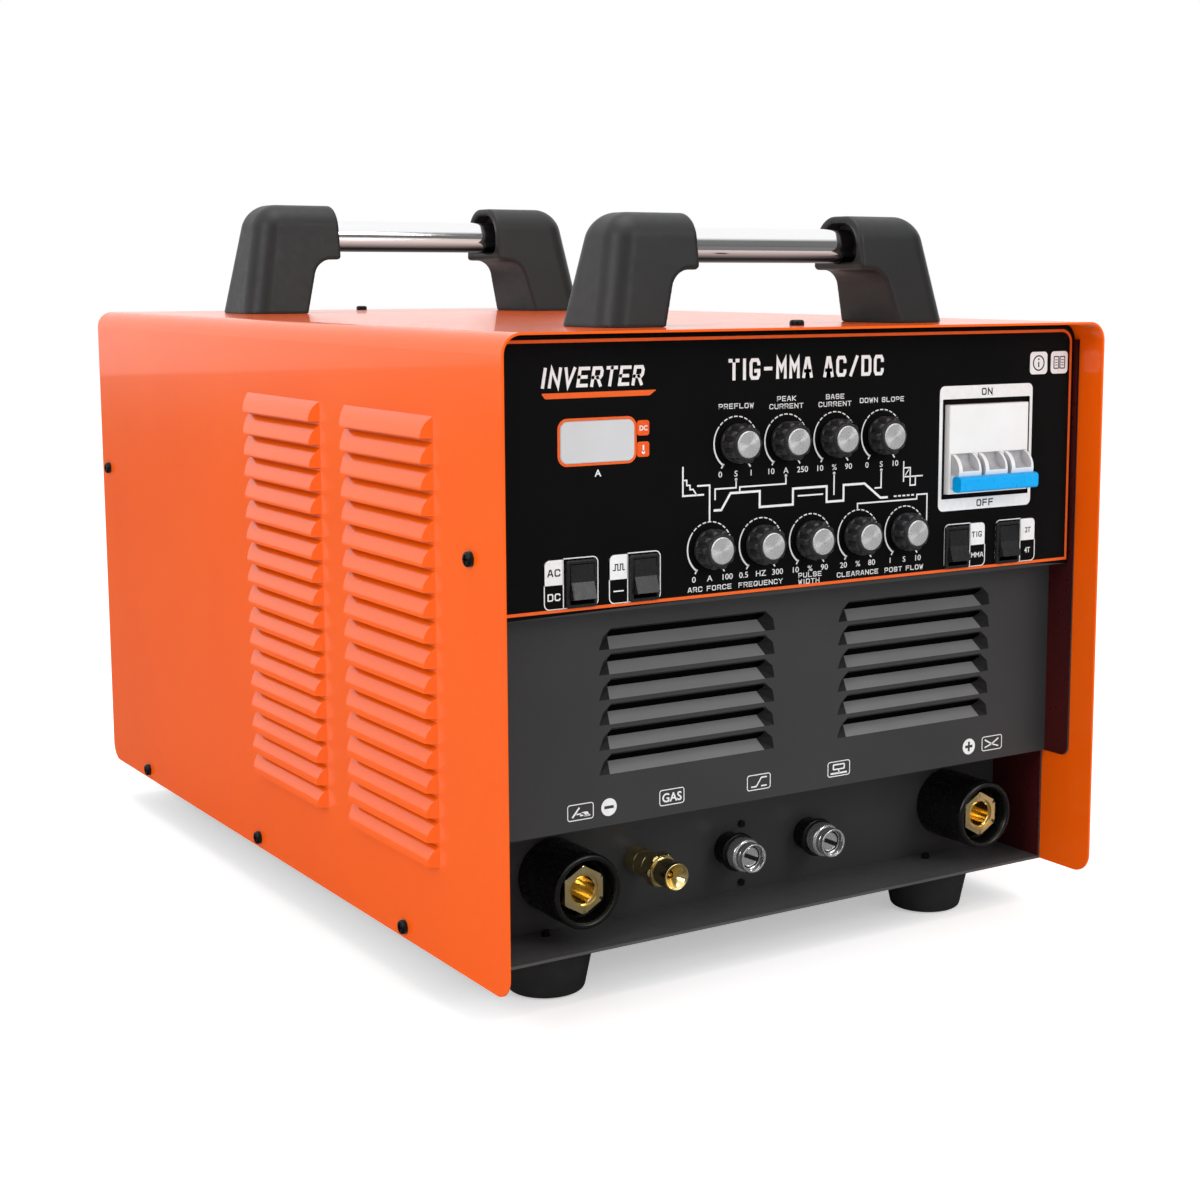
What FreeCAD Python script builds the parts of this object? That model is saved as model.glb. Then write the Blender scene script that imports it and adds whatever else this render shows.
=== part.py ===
import FreeCAD, Part
import math
import os

from FreeCAD import Vector

# TIG welding machine, in millimetres.
# Working frame: x from the casing's left wall, y from its front edge, z from its underside.
# Row frame: centred on the casing in X and Y, with Z counted from the floor under the feet.

# ---- driving dimensions -------------------------------------------------------------------
CASE_W = 366.0
CASE_D = 568.0
CASE_H = 305.0
FOOT_H = 25.0
SKIN = 1.2
COVER_BEND = 10.0
COVER_CORNER = 11.0
GAP = 0.3

OVERLAY_Y = 20.0
OVERLAY_T = 1.0
OVERLAY_Z0 = 174.5
OVERLAY_Z1 = 302.0
FLANGE_Y = 17.0
VENT_FACE_Y = 35.0
NICHE_Z = 64.0
NICHE_Y = 77.0
FLOOR_Y = 38.0
REAR_FACE_Y = 532.0
REAR_FLANGE_Y = 558.0

LOUVRE_L = 100.0
LOUVRE_H = 10.4
LOUVRE_OUT = 5.0
LOUVRE_PITCH = 12.2
LOUVRE_ROWS = 18
LOUVRE_TOP_Z = 264.5
LOUVRE_COLUMNS = (68.0, 200.0)

VENT_W = 104.5
VENT_LEFTS = (70.0, 215.2)
VENT_Z0 = 151.3
VENT_PITCH = 12.35
VENT_ROWS = 6
VENT_END = 6.0

KNOB_ROWS = (
    (("preflow", "peak_current", "base_current", "down_slope"), 139.4, 30.2, 249.0),
    (("arc_force", "frequency", "pulse_width", "clearance", "post_flow"), 124.1, 30.5, 198.5),
)
KNOB_FRONT_Y = 8.6
KNOB_BACK_Y = 19.5
SHAFT_R = 3.0
RUNNING_GAP = 0.05

SWITCHES = (("ac_dc", 51.2), ("pulse", 86.0), ("mode", 281.6), ("trigger", 317.2))
SWITCH_Z = 187.4
BEZEL_W = 16.4
BEZEL_H = 22.4
ROCKER_W = 12.6
PIVOT_Y = 22.0
TRUNNION_R = 1.2
ROCKER_TILT = 12.0

BREAKER_X = 301.0
BREAKER_Z = 239.3
POLE_W = 18.4
NOSE_H = 46.8
NOSE_Y = 17.2
BREAKER_WINDOW_GAP = 2.8
DRUM_R = 9.5
DRUM_Y = 20.5
DRUM_Z = 228.0
TIE_BAR_HALF = (3.4, 4.1)
TIE_BAR_CORNER = 2.2

DISPLAY = (40.5, 81.2, 243.4, 263.4)
LAMP_X = (82.2, 89.2)
LAMP_ZS = (244.8, 254.9)

SOCKET_Z = 30.4
NEGATIVE_X = 66.4
POSITIVE_X = 324.7
COLLAR_R = 19.0
COLLAR_Y = 39.7
PLUG_BORE_R = 6.5
GAS_X = 117.1
GAS_Z = 30.0
GAS_NOZZLE_R = 7.3
GAS_FRONT_Y = 38.0
CONTROL_XS = (175.0, 227.5)
CONTROL_Z = 26.7
CONTROL_Y = 52.6

HANDLES = (("front", 62.0, 1.05, 1.03), ("rear", 472.0, 1.22, 1.30))
HANDLE_X = 182.8
HANDLE_TOP = 53.5
HANDLE_BASE_HALF = 24.0
HANDLE_CROWN_HALF = 16.3
HANDLE_BASE_U = 101.3
HANDLE_CROWN_U = 90.3
SLEEVE_U = 47.8
SLEEVE_LOW = 26.6
GRIP_TUBE_R = 8.35
GRIP_TUBE_END = 74.0
GRIP_TUBE_WALL = 1.5
TUBE_W = 38.5
BOLT_U = 84.0
BOLT_DY = 13.0

GAS_IN_X = 62.0
GAS_IN_Z = 62.0
GLAND_X = 304.0
GLAND_Z = 62.0

FOOT_X = 59.0
FOOT_YS = (70.0, 498.0)

FAN_X = 183.0
FAN_Z = 165.0
FAN_SIZE = 150.0
FAN_DEPTH = 48.0
FAN_BORE_R = 70.0

BOARD_Z = 158.0
BOARD_BACK_Y = 430.0

SCREW_HEAD_R = 3.7
SCREW_HEAD_H = 2.8
SCREW_R = 2.0

TO_ROW = Vector(-CASE_W / 2, -CASE_D / 2, FOOT_H)
X = Vector(1, 0, 0)
Y = Vector(0, 1, 0)
Z = Vector(0, 0, 1)
INNER_X0 = SKIN + GAP
INNER_X1 = CASE_W - SKIN - GAP


# ---- small helpers ------------------------------------------------------------------------
def block(x0, x1, y0, y1, z0, z1):
    return Part.makeBox(x1 - x0, y1 - y0, z1 - z0, Vector(x0, y0, z0))


def rod(radius, start, end):
    along = Vector(*end) - Vector(*start)
    return Part.makeCylinder(radius, along.Length, Vector(*start), along)


def taper(radius0, radius1, start, end):
    along = Vector(*end) - Vector(*start)
    return Part.makeCone(radius0, radius1, along.Length, Vector(*start), along)


def union(shapes):
    first, rest = shapes[0], shapes[1:]
    return first.fuse(rest).removeSplitter() if rest else first


def group(shapes):
    return Part.makeCompound(shapes)


def face_of(points):
    return Part.Face(Part.makePolygon(points + [points[0]]))


def prism(points, along):
    return face_of(points).extrude(along)


def mirror_x(shape, x_plane):
    return shape.mirror(Vector(x_plane, 0, 0), X)


def rounded_outline(a0, a1, b0, b1, radius, place):
    """A rounded rectangle's face; place(a, b) turns its two coordinates into a point."""
    k = radius * (1 - math.sqrt(0.5))
    corners = (
        ((a1 - radius, b0), (a1 - k, b0 + k), (a1, b0 + radius)),
        ((a1, b1 - radius), (a1 - k, b1 - k), (a1 - radius, b1)),
        ((a0 + radius, b1), (a0 + k, b1 - k), (a0, b1 - radius)),
        ((a0, b0 + radius), (a0 + k, b0 + k), (a0 + radius, b0)),
    )
    edges = []
    for i, corner in enumerate(corners):
        start, middle, end = [place(*p) for p in corner]
        edges.append(Part.Arc(start, middle, end).toShape())
        following = place(*corners[(i + 1) % 4][0])
        if (following - end).Length > 1e-6:
            edges.append(Part.LineSegment(end, following).toShape())
    return Part.Face(Part.Wire(edges))


def rounded_polygon(points, radii):
    """A flat face whose corners are rounded by tangent arcs; a radius of 0 leaves a corner sharp."""
    spans = []
    for i, corner in enumerate(points):
        before = (points[i - 1] - corner).normalize()
        after = (points[(i + 1) % len(points)] - corner).normalize()
        half = before.getAngle(after) / 2
        reach = radii[i] / math.tan(half)
        inward = (before + after).normalize()
        middle = corner + inward * (radii[i] / math.sin(half) - radii[i])
        spans.append((corner + before * reach, middle, corner + after * reach))
    edges = []
    for i, (start, middle, end) in enumerate(spans):
        if radii[i] > 0:
            edges.append(Part.Arc(start, middle, end).toShape())
        following = spans[(i + 1) % len(spans)][0]
        if (following - end).Length > 1e-6:
            edges.append(Part.LineSegment(end, following).toShape())
    return Part.Face(Part.Wire(edges))


def rounded_plate_xz(x0, x1, z0, z1, radius, y0, y1):
    outline = rounded_outline(x0, x1, z0, z1, radius, lambda a, b: Vector(a, y0, b))
    return outline.extrude(Y * (y1 - y0))


def hexagon(across_flats, centre, y0, y1, turn=30):
    radius = across_flats / math.sqrt(3)
    points = []
    for i in range(6):
        angle = math.radians(60 * i + turn)
        points.append(Vector(centre[0] + radius * math.cos(angle), y0, centre[1] + radius * math.sin(angle)))
    return prism(points, Y * (y1 - y0))


def ring_y(outer, inner, centre, y0, y1):
    x, z = centre
    return rod(outer, (x, y0, z), (x, y1, z)).cut(rod(inner, (x, y0 - 1, z), (x, y1 + 1, z)))


def save(node, shape):
    placed = shape.copy()
    placed.translate(TO_ROW)
    placed.exportStep("parts/" + node + ".step")
    solids = placed.Solids
    print(node, len(solids), "solid(s), volume", round(placed.Volume / 1000.0, 2), "cm3", placed.isValid())


# ---- places shared by the sheet parts and their screws -------------------------------------
SIDE_SCREWS = [(32.0, 201.4), (554.4, 201.4), (108.9, 6.0), (302.0, 6.0), (495.0, 6.0)]
TOP_SCREWS = [(CASE_W / 2, 30.0), (CASE_W / 2, 547.0)]
SOCKET_SCREWS = [(183.6, 6.4), (183.6, 38.7)]


def foot_centres():
    return [(x, y) for y in FOOT_YS for x in (FOOT_X, CASE_W - FOOT_X)]


def knob_places():
    places = []
    for names, first, pitch, z in KNOB_ROWS:
        places += [(name, first + pitch * i, z) for i, name in enumerate(names)]
    return places


def handle_bolt_places():
    places = []
    for _, y, k, _ in HANDLES:
        for side in (-1, 1):
            places += [(HANDLE_X + side * BOLT_U * k, y + dy) for dy in (-BOLT_DY, BOLT_DY)]
    return places


# ---- cover -------------------------------------------------------------------------------
def louvre_body(x_wall, y0, y1, z_top, inset, reach):
    """Half a lens in section, out to the left of x_wall, with slanted ends."""
    depth = LOUVRE_OUT - inset
    height = LOUVRE_H - inset
    z_low = z_top - LOUVRE_H
    radius = (depth * depth + height * height) / (2 * depth)
    centre_x = x_wall - depth + radius
    half_angle = math.asin(height / radius) / 2
    mid = Vector(centre_x - radius * math.cos(half_angle), y0, z_low + radius * math.sin(half_angle))
    top = Vector(x_wall, y0, z_low + height)
    lip = Vector(x_wall - depth, y0, z_low)
    inner_top = Vector(x_wall + reach, y0, z_low + height)
    inner_low = Vector(x_wall + reach, y0, z_low)
    edges = [
        Part.Arc(top, mid, lip).toShape(),
        Part.LineSegment(lip, inner_low).toShape(),
        Part.LineSegment(inner_low, inner_top).toShape(),
        Part.LineSegment(inner_top, top).toShape(),
    ]
    body = Part.Face(Part.Wire(edges)).extrude(Y * (y1 - y0))
    slope = 4.0
    plan = [
        Vector(x_wall + reach, y0 + inset, z_low - 1),
        Vector(x_wall, y0 + inset, z_low - 1),
        Vector(x_wall - depth, y0 + inset + slope, z_low - 1),
        Vector(x_wall - depth, y1 - inset - slope, z_low - 1),
        Vector(x_wall, y1 - inset, z_low - 1),
        Vector(x_wall + reach, y1 - inset, z_low - 1),
    ]
    return body.common(prism(plan, Z * (LOUVRE_H + 2)))


def arch(inset, y0, y1):
    """The casing's outline seen from the front, drawn in by inset and run from y0 to y1."""
    r = COVER_BEND - inset
    x0, x1, top = inset, CASE_W - inset, CASE_H - inset
    k = r * (1 - math.sqrt(0.5))
    edges = [
        Part.LineSegment(Vector(x0, y0, 0), Vector(x0, y0, top - r)).toShape(),
        Part.Arc(Vector(x0, y0, top - r), Vector(x0 + k, y0, top - k), Vector(x0 + r, y0, top)).toShape(),
        Part.LineSegment(Vector(x0 + r, y0, top), Vector(x1 - r, y0, top)).toShape(),
        Part.Arc(Vector(x1 - r, y0, top), Vector(x1 - k, y0, top - k), Vector(x1, y0, top - r)).toShape(),
        Part.LineSegment(Vector(x1, y0, top - r), Vector(x1, y0, 0)).toShape(),
        Part.LineSegment(Vector(x1, y0, 0), Vector(x0, y0, 0)).toShape(),
    ]
    return Part.Face(Part.Wire(edges)).extrude(Y * (y1 - y0))


def cover():
    shell = arch(0, 0, CASE_D).cut(arch(SKIN, -1, CASE_D + 1))
    r = COVER_CORNER
    for y_edge, inward in ((0, 1), (CASE_D, -1)):
        y_near, y_far = sorted((y_edge, y_edge + inward * r))
        corner = block(-1, CASE_W + 1, y_near, y_far, -1, r)
        centre_y = y_edge + inward * r
        shell = shell.cut(corner.cut(rod(r, (-2, centre_y, r), (CASE_W + 2, centre_y, r))))
    hoods = []
    cavities = []
    for y0 in LOUVRE_COLUMNS:
        for row in range(LOUVRE_ROWS):
            z_top = LOUVRE_TOP_Z - row * LOUVRE_PITCH
            hood = louvre_body(0.0, y0, y0 + LOUVRE_L, z_top, 0.0, 0.6)
            cavity = louvre_body(0.0, y0, y0 + LOUVRE_L, z_top, 1.0, SKIN + 0.5)
            hoods += [hood, mirror_x(hood, CASE_W / 2)]
            cavities += [cavity, mirror_x(cavity, CASE_W / 2)]
    shell = shell.fuse(hoods).cut(group(cavities))
    holes = []
    for y, z in SIDE_SCREWS:
        holes.append(rod(SCREW_R + 0.3, (-1, y, z), (3, y, z)))
        holes.append(rod(SCREW_R + 0.3, (CASE_W - 3, y, z), (CASE_W + 1, y, z)))
    for x, y in TOP_SCREWS:
        holes.append(rod(SCREW_R + 0.3, (x, y, CASE_H - 3), (x, y, CASE_H + 1)))
    for x, y in handle_bolt_places():
        holes.append(rod(2.8, (x, y, CASE_H - 3), (x, y, CASE_H + 1)))
    return shell.cut(group(holes))


# ---- base, front and rear panels ------------------------------------------------------------
def base_pan():
    floor = block(INNER_X0, INNER_X1, FLOOR_Y, REAR_FLANGE_Y, 0, 1.5)
    flanges = []
    for x0, x1 in ((INNER_X0, INNER_X0 + 1.2), (INNER_X1 - 1.2, INNER_X1)):
        flanges.append(block(x0, x1, NICHE_Y + 3, REAR_FACE_Y - 3, 0, 14))
    pan = union([floor] + flanges)
    holes = []
    for y, z in SIDE_SCREWS[2:]:
        holes.append(rod(SCREW_R + 0.3, (0, y, z), (4, y, z)))
        holes.append(rod(SCREW_R + 0.3, (CASE_W - 4, y, z), (CASE_W, y, z)))
    for x, y in foot_centres():
        holes.append(rod(2.6, (x, y, -1), (x, y, 3)))
    return pan.cut(group(holes))


def vent_wedge(x0, x1, z0, lower, drop, deep, ends):
    """A pressed vent's hollow: a sloping blade between two end facets, with rounded upper corners."""
    face_y = -0.02
    top = z0 + 10.2 - drop
    low_z = z0 - lower
    low_left = Vector(x0 - ends, face_y, low_z)
    blade_left = Vector(x0 + VENT_END, face_y, low_z)
    blade_right = Vector(x1 - VENT_END, face_y, low_z)
    low_right = Vector(x1 + ends, face_y, low_z)
    side_right = Vector(x1 - 1.2 + ends, face_y, z0 + 6.0 - drop / 2)
    top_right = Vector(x1 - 6.0 + ends, face_y, top)
    top_left = Vector(x0 + 7.0 - ends, face_y, top)
    side_left = Vector(x0 + 2.4 - ends, face_y, z0 + 6.4 - drop / 2)
    left = Vector(x0 + 8.4 - ends, 5.5 + deep, z0 + 5.7 - lower)
    right = Vector(x1 - 8.4 + ends, 5.5 + deep, z0 + 5.7 - lower)
    outline = [low_left, blade_left, blade_right, low_right, side_right, top_right, top_left, side_left]
    faces = [
        face_of(outline),
        face_of([blade_left, blade_right, right, left]),
        face_of([top_right, top_left, left, right]),
        face_of([blade_right, low_right, right]), face_of([low_right, side_right, right]),
        face_of([side_right, top_right, right]), face_of([top_left, side_left, left]),
        face_of([side_left, low_left, left]), face_of([low_left, blade_left, left]),
    ]
    wedge = Part.Solid(Part.Shell(faces))
    wedge.translate(Y * VENT_FACE_Y)
    if wedge.Volume < 0:
        wedge.reverse()
    return wedge


def front_panel():
    t = SKIN
    x0, x1 = INNER_X0, INNER_X1
    upper_y = OVERLAY_Y + OVERLAY_T
    shelf_z = OVERLAY_Z0 - 1.0
    tab_top = CASE_H - SKIN - GAP
    sheets = [
        block(x0, x1, upper_y, upper_y + t, shelf_z - t, tab_top),
        block(x0, x1, upper_y, VENT_FACE_Y + t, shelf_z - t, shelf_z),
        block(x0, x1, VENT_FACE_Y, VENT_FACE_Y + t, NICHE_Z, shelf_z),
        block(x0, x1, VENT_FACE_Y, NICHE_Y + t, NICHE_Z, NICHE_Z + t),
        block(x0, x1, NICHE_Y, NICHE_Y + t, 1.5, NICHE_Z + t),
        block(CASE_W / 2 - 30, CASE_W / 2 + 30, upper_y, upper_y + 20, tab_top - t, tab_top),
    ]
    for wall_x in (x0, x1 - t):
        side = block(wall_x, wall_x + t, FLANGE_Y, VENT_FACE_Y + 8, NICHE_Z, CASE_H - COVER_BEND)
        side = side.fuse(block(wall_x, wall_x + t, FLOOR_Y, NICHE_Y + t, 1.5, NICHE_Z + t))
        toe = block(wall_x - 1, wall_x + t + 1, FLANGE_Y, FLANGE_Y + 5, NICHE_Z, NICHE_Z + 5)
        heel = rod(5, (wall_x - 2, FLANGE_Y + 5, NICHE_Z + 5), (wall_x + t + 2, FLANGE_Y + 5, NICHE_Z + 5))
        sheets.append(side.cut(toe.cut(heel)))
    panel = union(sheets).common(arch(SKIN + GAP, 0, CASE_D))
    outers = []
    hollows = []
    for left in VENT_LEFTS:
        for row in range(VENT_ROWS):
            z0 = VENT_Z0 - row * VENT_PITCH
            outers.append(vent_wedge(left, left + VENT_W, z0, 1.3, 1.0, 0.7, 1.0))
            hollows.append(vent_wedge(left, left + VENT_W, z0, 0.0, 0.0, 0.0, 0.0))
    panel = panel.fuse(outers).cut(group(hollows))
    y0, y1 = upper_y - 1, upper_y + t + 1
    cuts = [rod(3.9, (x, y0, z), (x, y1, z)) for _, x, z in knob_places()]
    for _, x in SWITCHES:
        cuts.append(block(x - 7.1, x + 7.1, y0, y1, SWITCH_Z - 10.1, SWITCH_Z + 10.1))
    half_w = 1.5 * POLE_W + GAP
    half_h = NOSE_H / 2 + GAP
    cuts.append(block(BREAKER_X - half_w, BREAKER_X + half_w, y0, y1, BREAKER_Z - half_h, BREAKER_Z + half_h))
    cuts.append(block(DISPLAY[0] + 1.5, DISPLAY[1] - 1.5, y0, y1, DISPLAY[2] + 1.5, DISPLAY[3] - 1.5))
    for z in LAMP_ZS:
        cuts.append(block(LAMP_X[0] + 1, LAMP_X[1] - 1, y0, y1, z + 1, z + 6.6))
    for x in (NEGATIVE_X, POSITIVE_X):
        cuts.append(rod(12.0, (x, NICHE_Y - 1, SOCKET_Z), (x, NICHE_Y + 3, SOCKET_Z)))
    cuts.append(rod(5.2, (GAS_X, NICHE_Y - 1, GAS_Z), (GAS_X, NICHE_Y + 3, GAS_Z)))
    for x in CONTROL_XS:
        cuts.append(rod(7.0, (x, NICHE_Y - 1, CONTROL_Z), (x, NICHE_Y + 3, CONTROL_Z)))
    for x, z in SOCKET_SCREWS:
        cuts.append(rod(1.6, (x, NICHE_Y - 1, z), (x, NICHE_Y + 3, z)))
    cuts.append(rod(SCREW_R + 0.3, (0, 32.0, 201.4), (CASE_W, 32.0, 201.4)))
    cuts.append(rod(SCREW_R + 0.3, (CASE_W / 2, 30.0, CASE_H - 5), (CASE_W / 2, 30.0, CASE_H)))
    return panel.cut(group(cuts))


def front_overlay():
    x0, x1 = 3.2, 362.8
    y0, y1 = OVERLAY_Y, OVERLAY_Y + OVERLAY_T
    r = 8.5
    plate = block(x0, x1, y0, y1, OVERLAY_Z0, OVERLAY_Z1)
    for corner_x, centre_x in ((x0, x0 + r), (x1 - r, x1 - r)):
        waste = block(corner_x, corner_x + r, y0 - 1, y1 + 1, OVERLAY_Z1 - r, OVERLAY_Z1 + 1)
        centre_z = OVERLAY_Z1 - r
        kept = rod(r, (centre_x, y0 - 2, centre_z), (centre_x, y1 + 2, centre_z))
        plate = plate.cut(waste.cut(kept))
    half_w = 1.5 * POLE_W + BREAKER_WINDOW_GAP
    half_h = NOSE_H / 2 + BREAKER_WINDOW_GAP
    cuts = [rod(3.9, (x, y0 - 1, z), (x, y1 + 1, z)) for _, x, z in knob_places()]
    for _, x in SWITCHES:
        cuts.append(block(x - 7.1, x + 7.1, y0 - 1, y1 + 1, SWITCH_Z - 10.1, SWITCH_Z + 10.1))
    breaker_x0, breaker_x1 = BREAKER_X - half_w, BREAKER_X + half_w
    breaker_z0, breaker_z1 = BREAKER_Z - half_h, BREAKER_Z + half_h
    cuts.append(block(breaker_x0, breaker_x1, y0 - 1, y1 + 1, breaker_z0, breaker_z1))
    cuts.append(rounded_plate_xz(DISPLAY[0], DISPLAY[1], DISPLAY[2], DISPLAY[3], 4.0, y0 - 1, y1 + 1))
    for z in LAMP_ZS:
        cuts.append(rounded_plate_xz(LAMP_X[0], LAMP_X[1], z, z + 7.6, 1.5, y0 - 1, y1 + 1))
    return plate.cut(group(cuts))


def rear_panel():
    t = SKIN
    y = REAR_FACE_Y
    x0, x1 = INNER_X0, INNER_X1
    top = CASE_H - SKIN - GAP
    sheets = [
        block(x0, x1, y, y + t, 1.5, top),
        block(x0, x0 + t, y, REAR_FLANGE_Y, 1.5, top - 12),
        block(x1 - t, x1, y, REAR_FLANGE_Y, 1.5, top - 12),
        block(x0 + 12, x1 - 12, y, REAR_FLANGE_Y, top - t, top),
    ]
    cuts = [rod(FAN_BORE_R, (FAN_X, y - 1, FAN_Z), (FAN_X, y + 3, FAN_Z))]
    cuts.append(rod(5.2, (GAS_IN_X, y - 1, GAS_IN_Z), (GAS_IN_X, y + 3, GAS_IN_Z)))
    cuts.append(rod(10.0, (GLAND_X, y - 1, GLAND_Z), (GLAND_X, y + 3, GLAND_Z)))
    cuts += [rod(2.2, (cx, y - 1, cz), (cx, y + 3, cz)) for cx, cz in fan_corners()]
    for row in range(6):
        z = 32 + 7 * row
        cuts.append(rounded_plate_xz(GAS_IN_X + 50, GLAND_X - 50, z, z + 3.0, 1.4, y - 1, y + 3))
    cuts.append(rod(SCREW_R + 0.3, (0, 554.4, 201.4), (CASE_W, 554.4, 201.4)))
    cuts.append(rod(SCREW_R + 0.3, (CASE_W / 2, 547.0, CASE_H - 5), (CASE_W / 2, 547.0, CASE_H)))
    return union(sheets).common(arch(SKIN + GAP, 0, CASE_D)).cut(group(cuts))


# ---- feet and screws ------------------------------------------------------------------------
def rubber_feet():
    feet = []
    for x, y in foot_centres():
        body = taper(19.3, 24.2, (x, y, -FOOT_H), (x, y, 0))
        body = body.makeFillet(2.5, [e for e in body.Edges if e.BoundBox.ZMax < -FOOT_H + 0.1])
        recess = rod(6.0, (x, y, -FOOT_H - 1), (x, y, -7.0))
        feet.append(body.cut(recess).cut(rod(2.6, (x, y, -8.0), (x, y, 1))))
    return group(feet)


def pan_head_screw(seat, outward, shank):
    """A cross-recessed pan-head screw whose head sits on seat and points along outward."""
    head = Part.makeCylinder(SCREW_HEAD_R, SCREW_HEAD_H, Vector(0, 0, 0), Z)
    head = head.makeFillet(1.3, [e for e in head.Edges if e.BoundBox.ZMin > SCREW_HEAD_H - 0.1])
    shaft = Part.makeCylinder(SCREW_R, shank, Vector(0, 0, -shank), Z)
    cross = block(-2.2, 2.2, -0.5, 0.5, SCREW_HEAD_H - 1.3, SCREW_HEAD_H + 1)
    cross = cross.fuse(block(-0.5, 0.5, -2.2, 2.2, SCREW_HEAD_H - 1.3, SCREW_HEAD_H + 1))
    screw = head.fuse(shaft).cut(cross)
    screw.Placement = FreeCAD.Placement(Vector(*seat), FreeCAD.Rotation(Z, outward))
    return screw


def casing_screws():
    screws = []
    for y, z in SIDE_SCREWS:
        screws.append(pan_head_screw((0, y, z), X * -1, 6.0))
        screws.append(pan_head_screw((CASE_W, y, z), X, 6.0))
    for x, y in TOP_SCREWS:
        screws.append(pan_head_screw((x, y, CASE_H), Z, 6.0))
    for x, y in foot_centres():
        screws.append(pan_head_screw((x, y, -7.0), Z * -1, 11.0))
    return group(screws)


def socket_screws():
    screws = []
    for x, z in SOCKET_SCREWS:
        head = rod(1.9, (x, NICHE_Y - 1.4, z), (x, NICHE_Y, z))
        shank = rod(1.3, (x, NICHE_Y, z), (x, NICHE_Y + 5, z))
        slot = block(x - 2, x + 2, NICHE_Y - 2, NICHE_Y - 0.8, z - 0.25, z + 0.25)
        screws.append(head.fuse(shank).cut(slot))
    return group(screws)


# ---- handles --------------------------------------------------------------------------------


def corner_waste(start, end, normal_a, normal_b, radius):
    """What a rounding of the given radius takes off the straight edge between two flat faces."""
    bisector = normal_a + normal_b
    offset = bisector * (radius / (1 + normal_a.dot(normal_b)))
    axis = start - offset
    outline = [start + bisector, axis + normal_a * (radius + 1), axis, axis + normal_b * (radius + 1)]
    along = end - start
    return prism(outline, along).cut(Part.makeCylinder(radius, along.Length, axis, along))


def outer_corner_waste(k, kz, side):
    """The rounding of one of a bracket's two outer upright edges, run on past the crown."""
    lean_u = (HANDLE_BASE_U - HANDLE_CROWN_U) * k
    lean_y = (HANDLE_BASE_HALF - HANDLE_CROWN_HALF) * k
    rise = HANDLE_TOP * kz
    end_normal = Vector(rise, 0, lean_u).normalize()
    side_normal = Vector(0, side * rise, lean_y).normalize()
    climb = Vector(-lean_u, -side * lean_y, rise)
    base = Vector(HANDLE_BASE_U * k, side * HANDLE_BASE_HALF * k, 0)
    return corner_waste(base - climb * 0.1, base + climb * 1.1, end_normal, side_normal, 9.5 * k)


def sleeve_corner_waste(k, kz, side):
    """The rounding under the sleeve, which leaves a narrow tongue below the tube."""
    lean_y = (HANDLE_BASE_HALF - HANDLE_CROWN_HALF) * k
    rise = HANDLE_TOP * kz
    half = HANDLE_BASE_HALF * k - lean_y * SLEEVE_LOW / HANDLE_TOP
    side_normal = Vector(0, side * rise, lean_y).normalize()
    start = Vector(40 * k, side * half, SLEEVE_LOW * kz)
    end = Vector(55 * k, side * half, SLEEVE_LOW * kz)
    return corner_waste(start, end, Z * -1, side_normal, 7.0 * k)


def handle_bracket(k, kz):
    """The right-hand bracket about the handle's middle: x outward, z up from the cover."""
    inner_u = 68.8
    inner_top_u = 61.3
    front = [
        (inner_u, 0), (HANDLE_BASE_U, 0), (HANDLE_CROWN_U, HANDLE_TOP),
        (SLEEVE_U, HANDLE_TOP), (SLEEVE_U, SLEEVE_LOW), (inner_top_u, SLEEVE_LOW),
    ]
    front_corners = [Vector(u * k, -40, w * kz) for u, w in front]
    front_view = rounded_polygon(front_corners, [0, 0, 15 * k, 0, 3 * k, 8 * k])
    side = [
        (-HANDLE_BASE_HALF, 0), (HANDLE_BASE_HALF, 0),
        (HANDLE_CROWN_HALF, HANDLE_TOP), (-HANDLE_CROWN_HALF, HANDLE_TOP),
    ]
    side_view = rounded_polygon([Vector(40 * k, v * k, w * kz) for v, w in side], [0, 0, 14.5 * k, 14.5 * k])
    body = front_view.extrude(Y * 80).common(side_view.extrude(X * 70 * k))
    tunnel = [(-14.6, 30.5), (14.6, 30.5), (13.6, 50.0), (-13.6, 50.0)]
    tunnel_corners = [Vector(40 * k, v * k, w * kz) for v, w in tunnel]
    tunnel_view = rounded_polygon(tunnel_corners, [5 * k, 5 * k, 12 * k, 12 * k])
    waste = [
        tunnel_view.extrude(X * 16.5 * k),
        rod(GRIP_TUBE_R * k, (40 * k, 0, TUBE_W * kz), (GRIP_TUBE_END * k, 0, TUBE_W * kz)),
        rod(1.3, (70.5 * k, 0, 50 * kz), (70.5 * k, 0, 60 * kz)),
    ]
    waste += [rod(2.5, (BOLT_U * k, dy, -1), (BOLT_U * k, dy, 18)) for dy in (-BOLT_DY, BOLT_DY)]
    for direction in (-1, 1):
        waste.append(outer_corner_waste(k, kz, direction))
        waste.append(sleeve_corner_waste(k, kz, direction))
    for tool in waste:
        body = body.cut(tool)
    return body


def handle_brackets(y, k, kz):
    right = handle_bracket(k, kz)
    left = right.mirror(Vector(0, 0, 0), X)
    pair = group([left, right])
    pair.translate(Vector(HANDLE_X, y, CASE_H))
    return pair


def handle_tube(y, k, kz):
    z = CASE_H + TUBE_W * kz
    r = GRIP_TUBE_R * k
    end = GRIP_TUBE_END * k
    outer = rod(r, (HANDLE_X - end, y, z), (HANDLE_X + end, y, z))
    return outer.cut(rod(r - GRIP_TUBE_WALL, (HANDLE_X - end - 1, y, z), (HANDLE_X + end + 1, y, z)))


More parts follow.
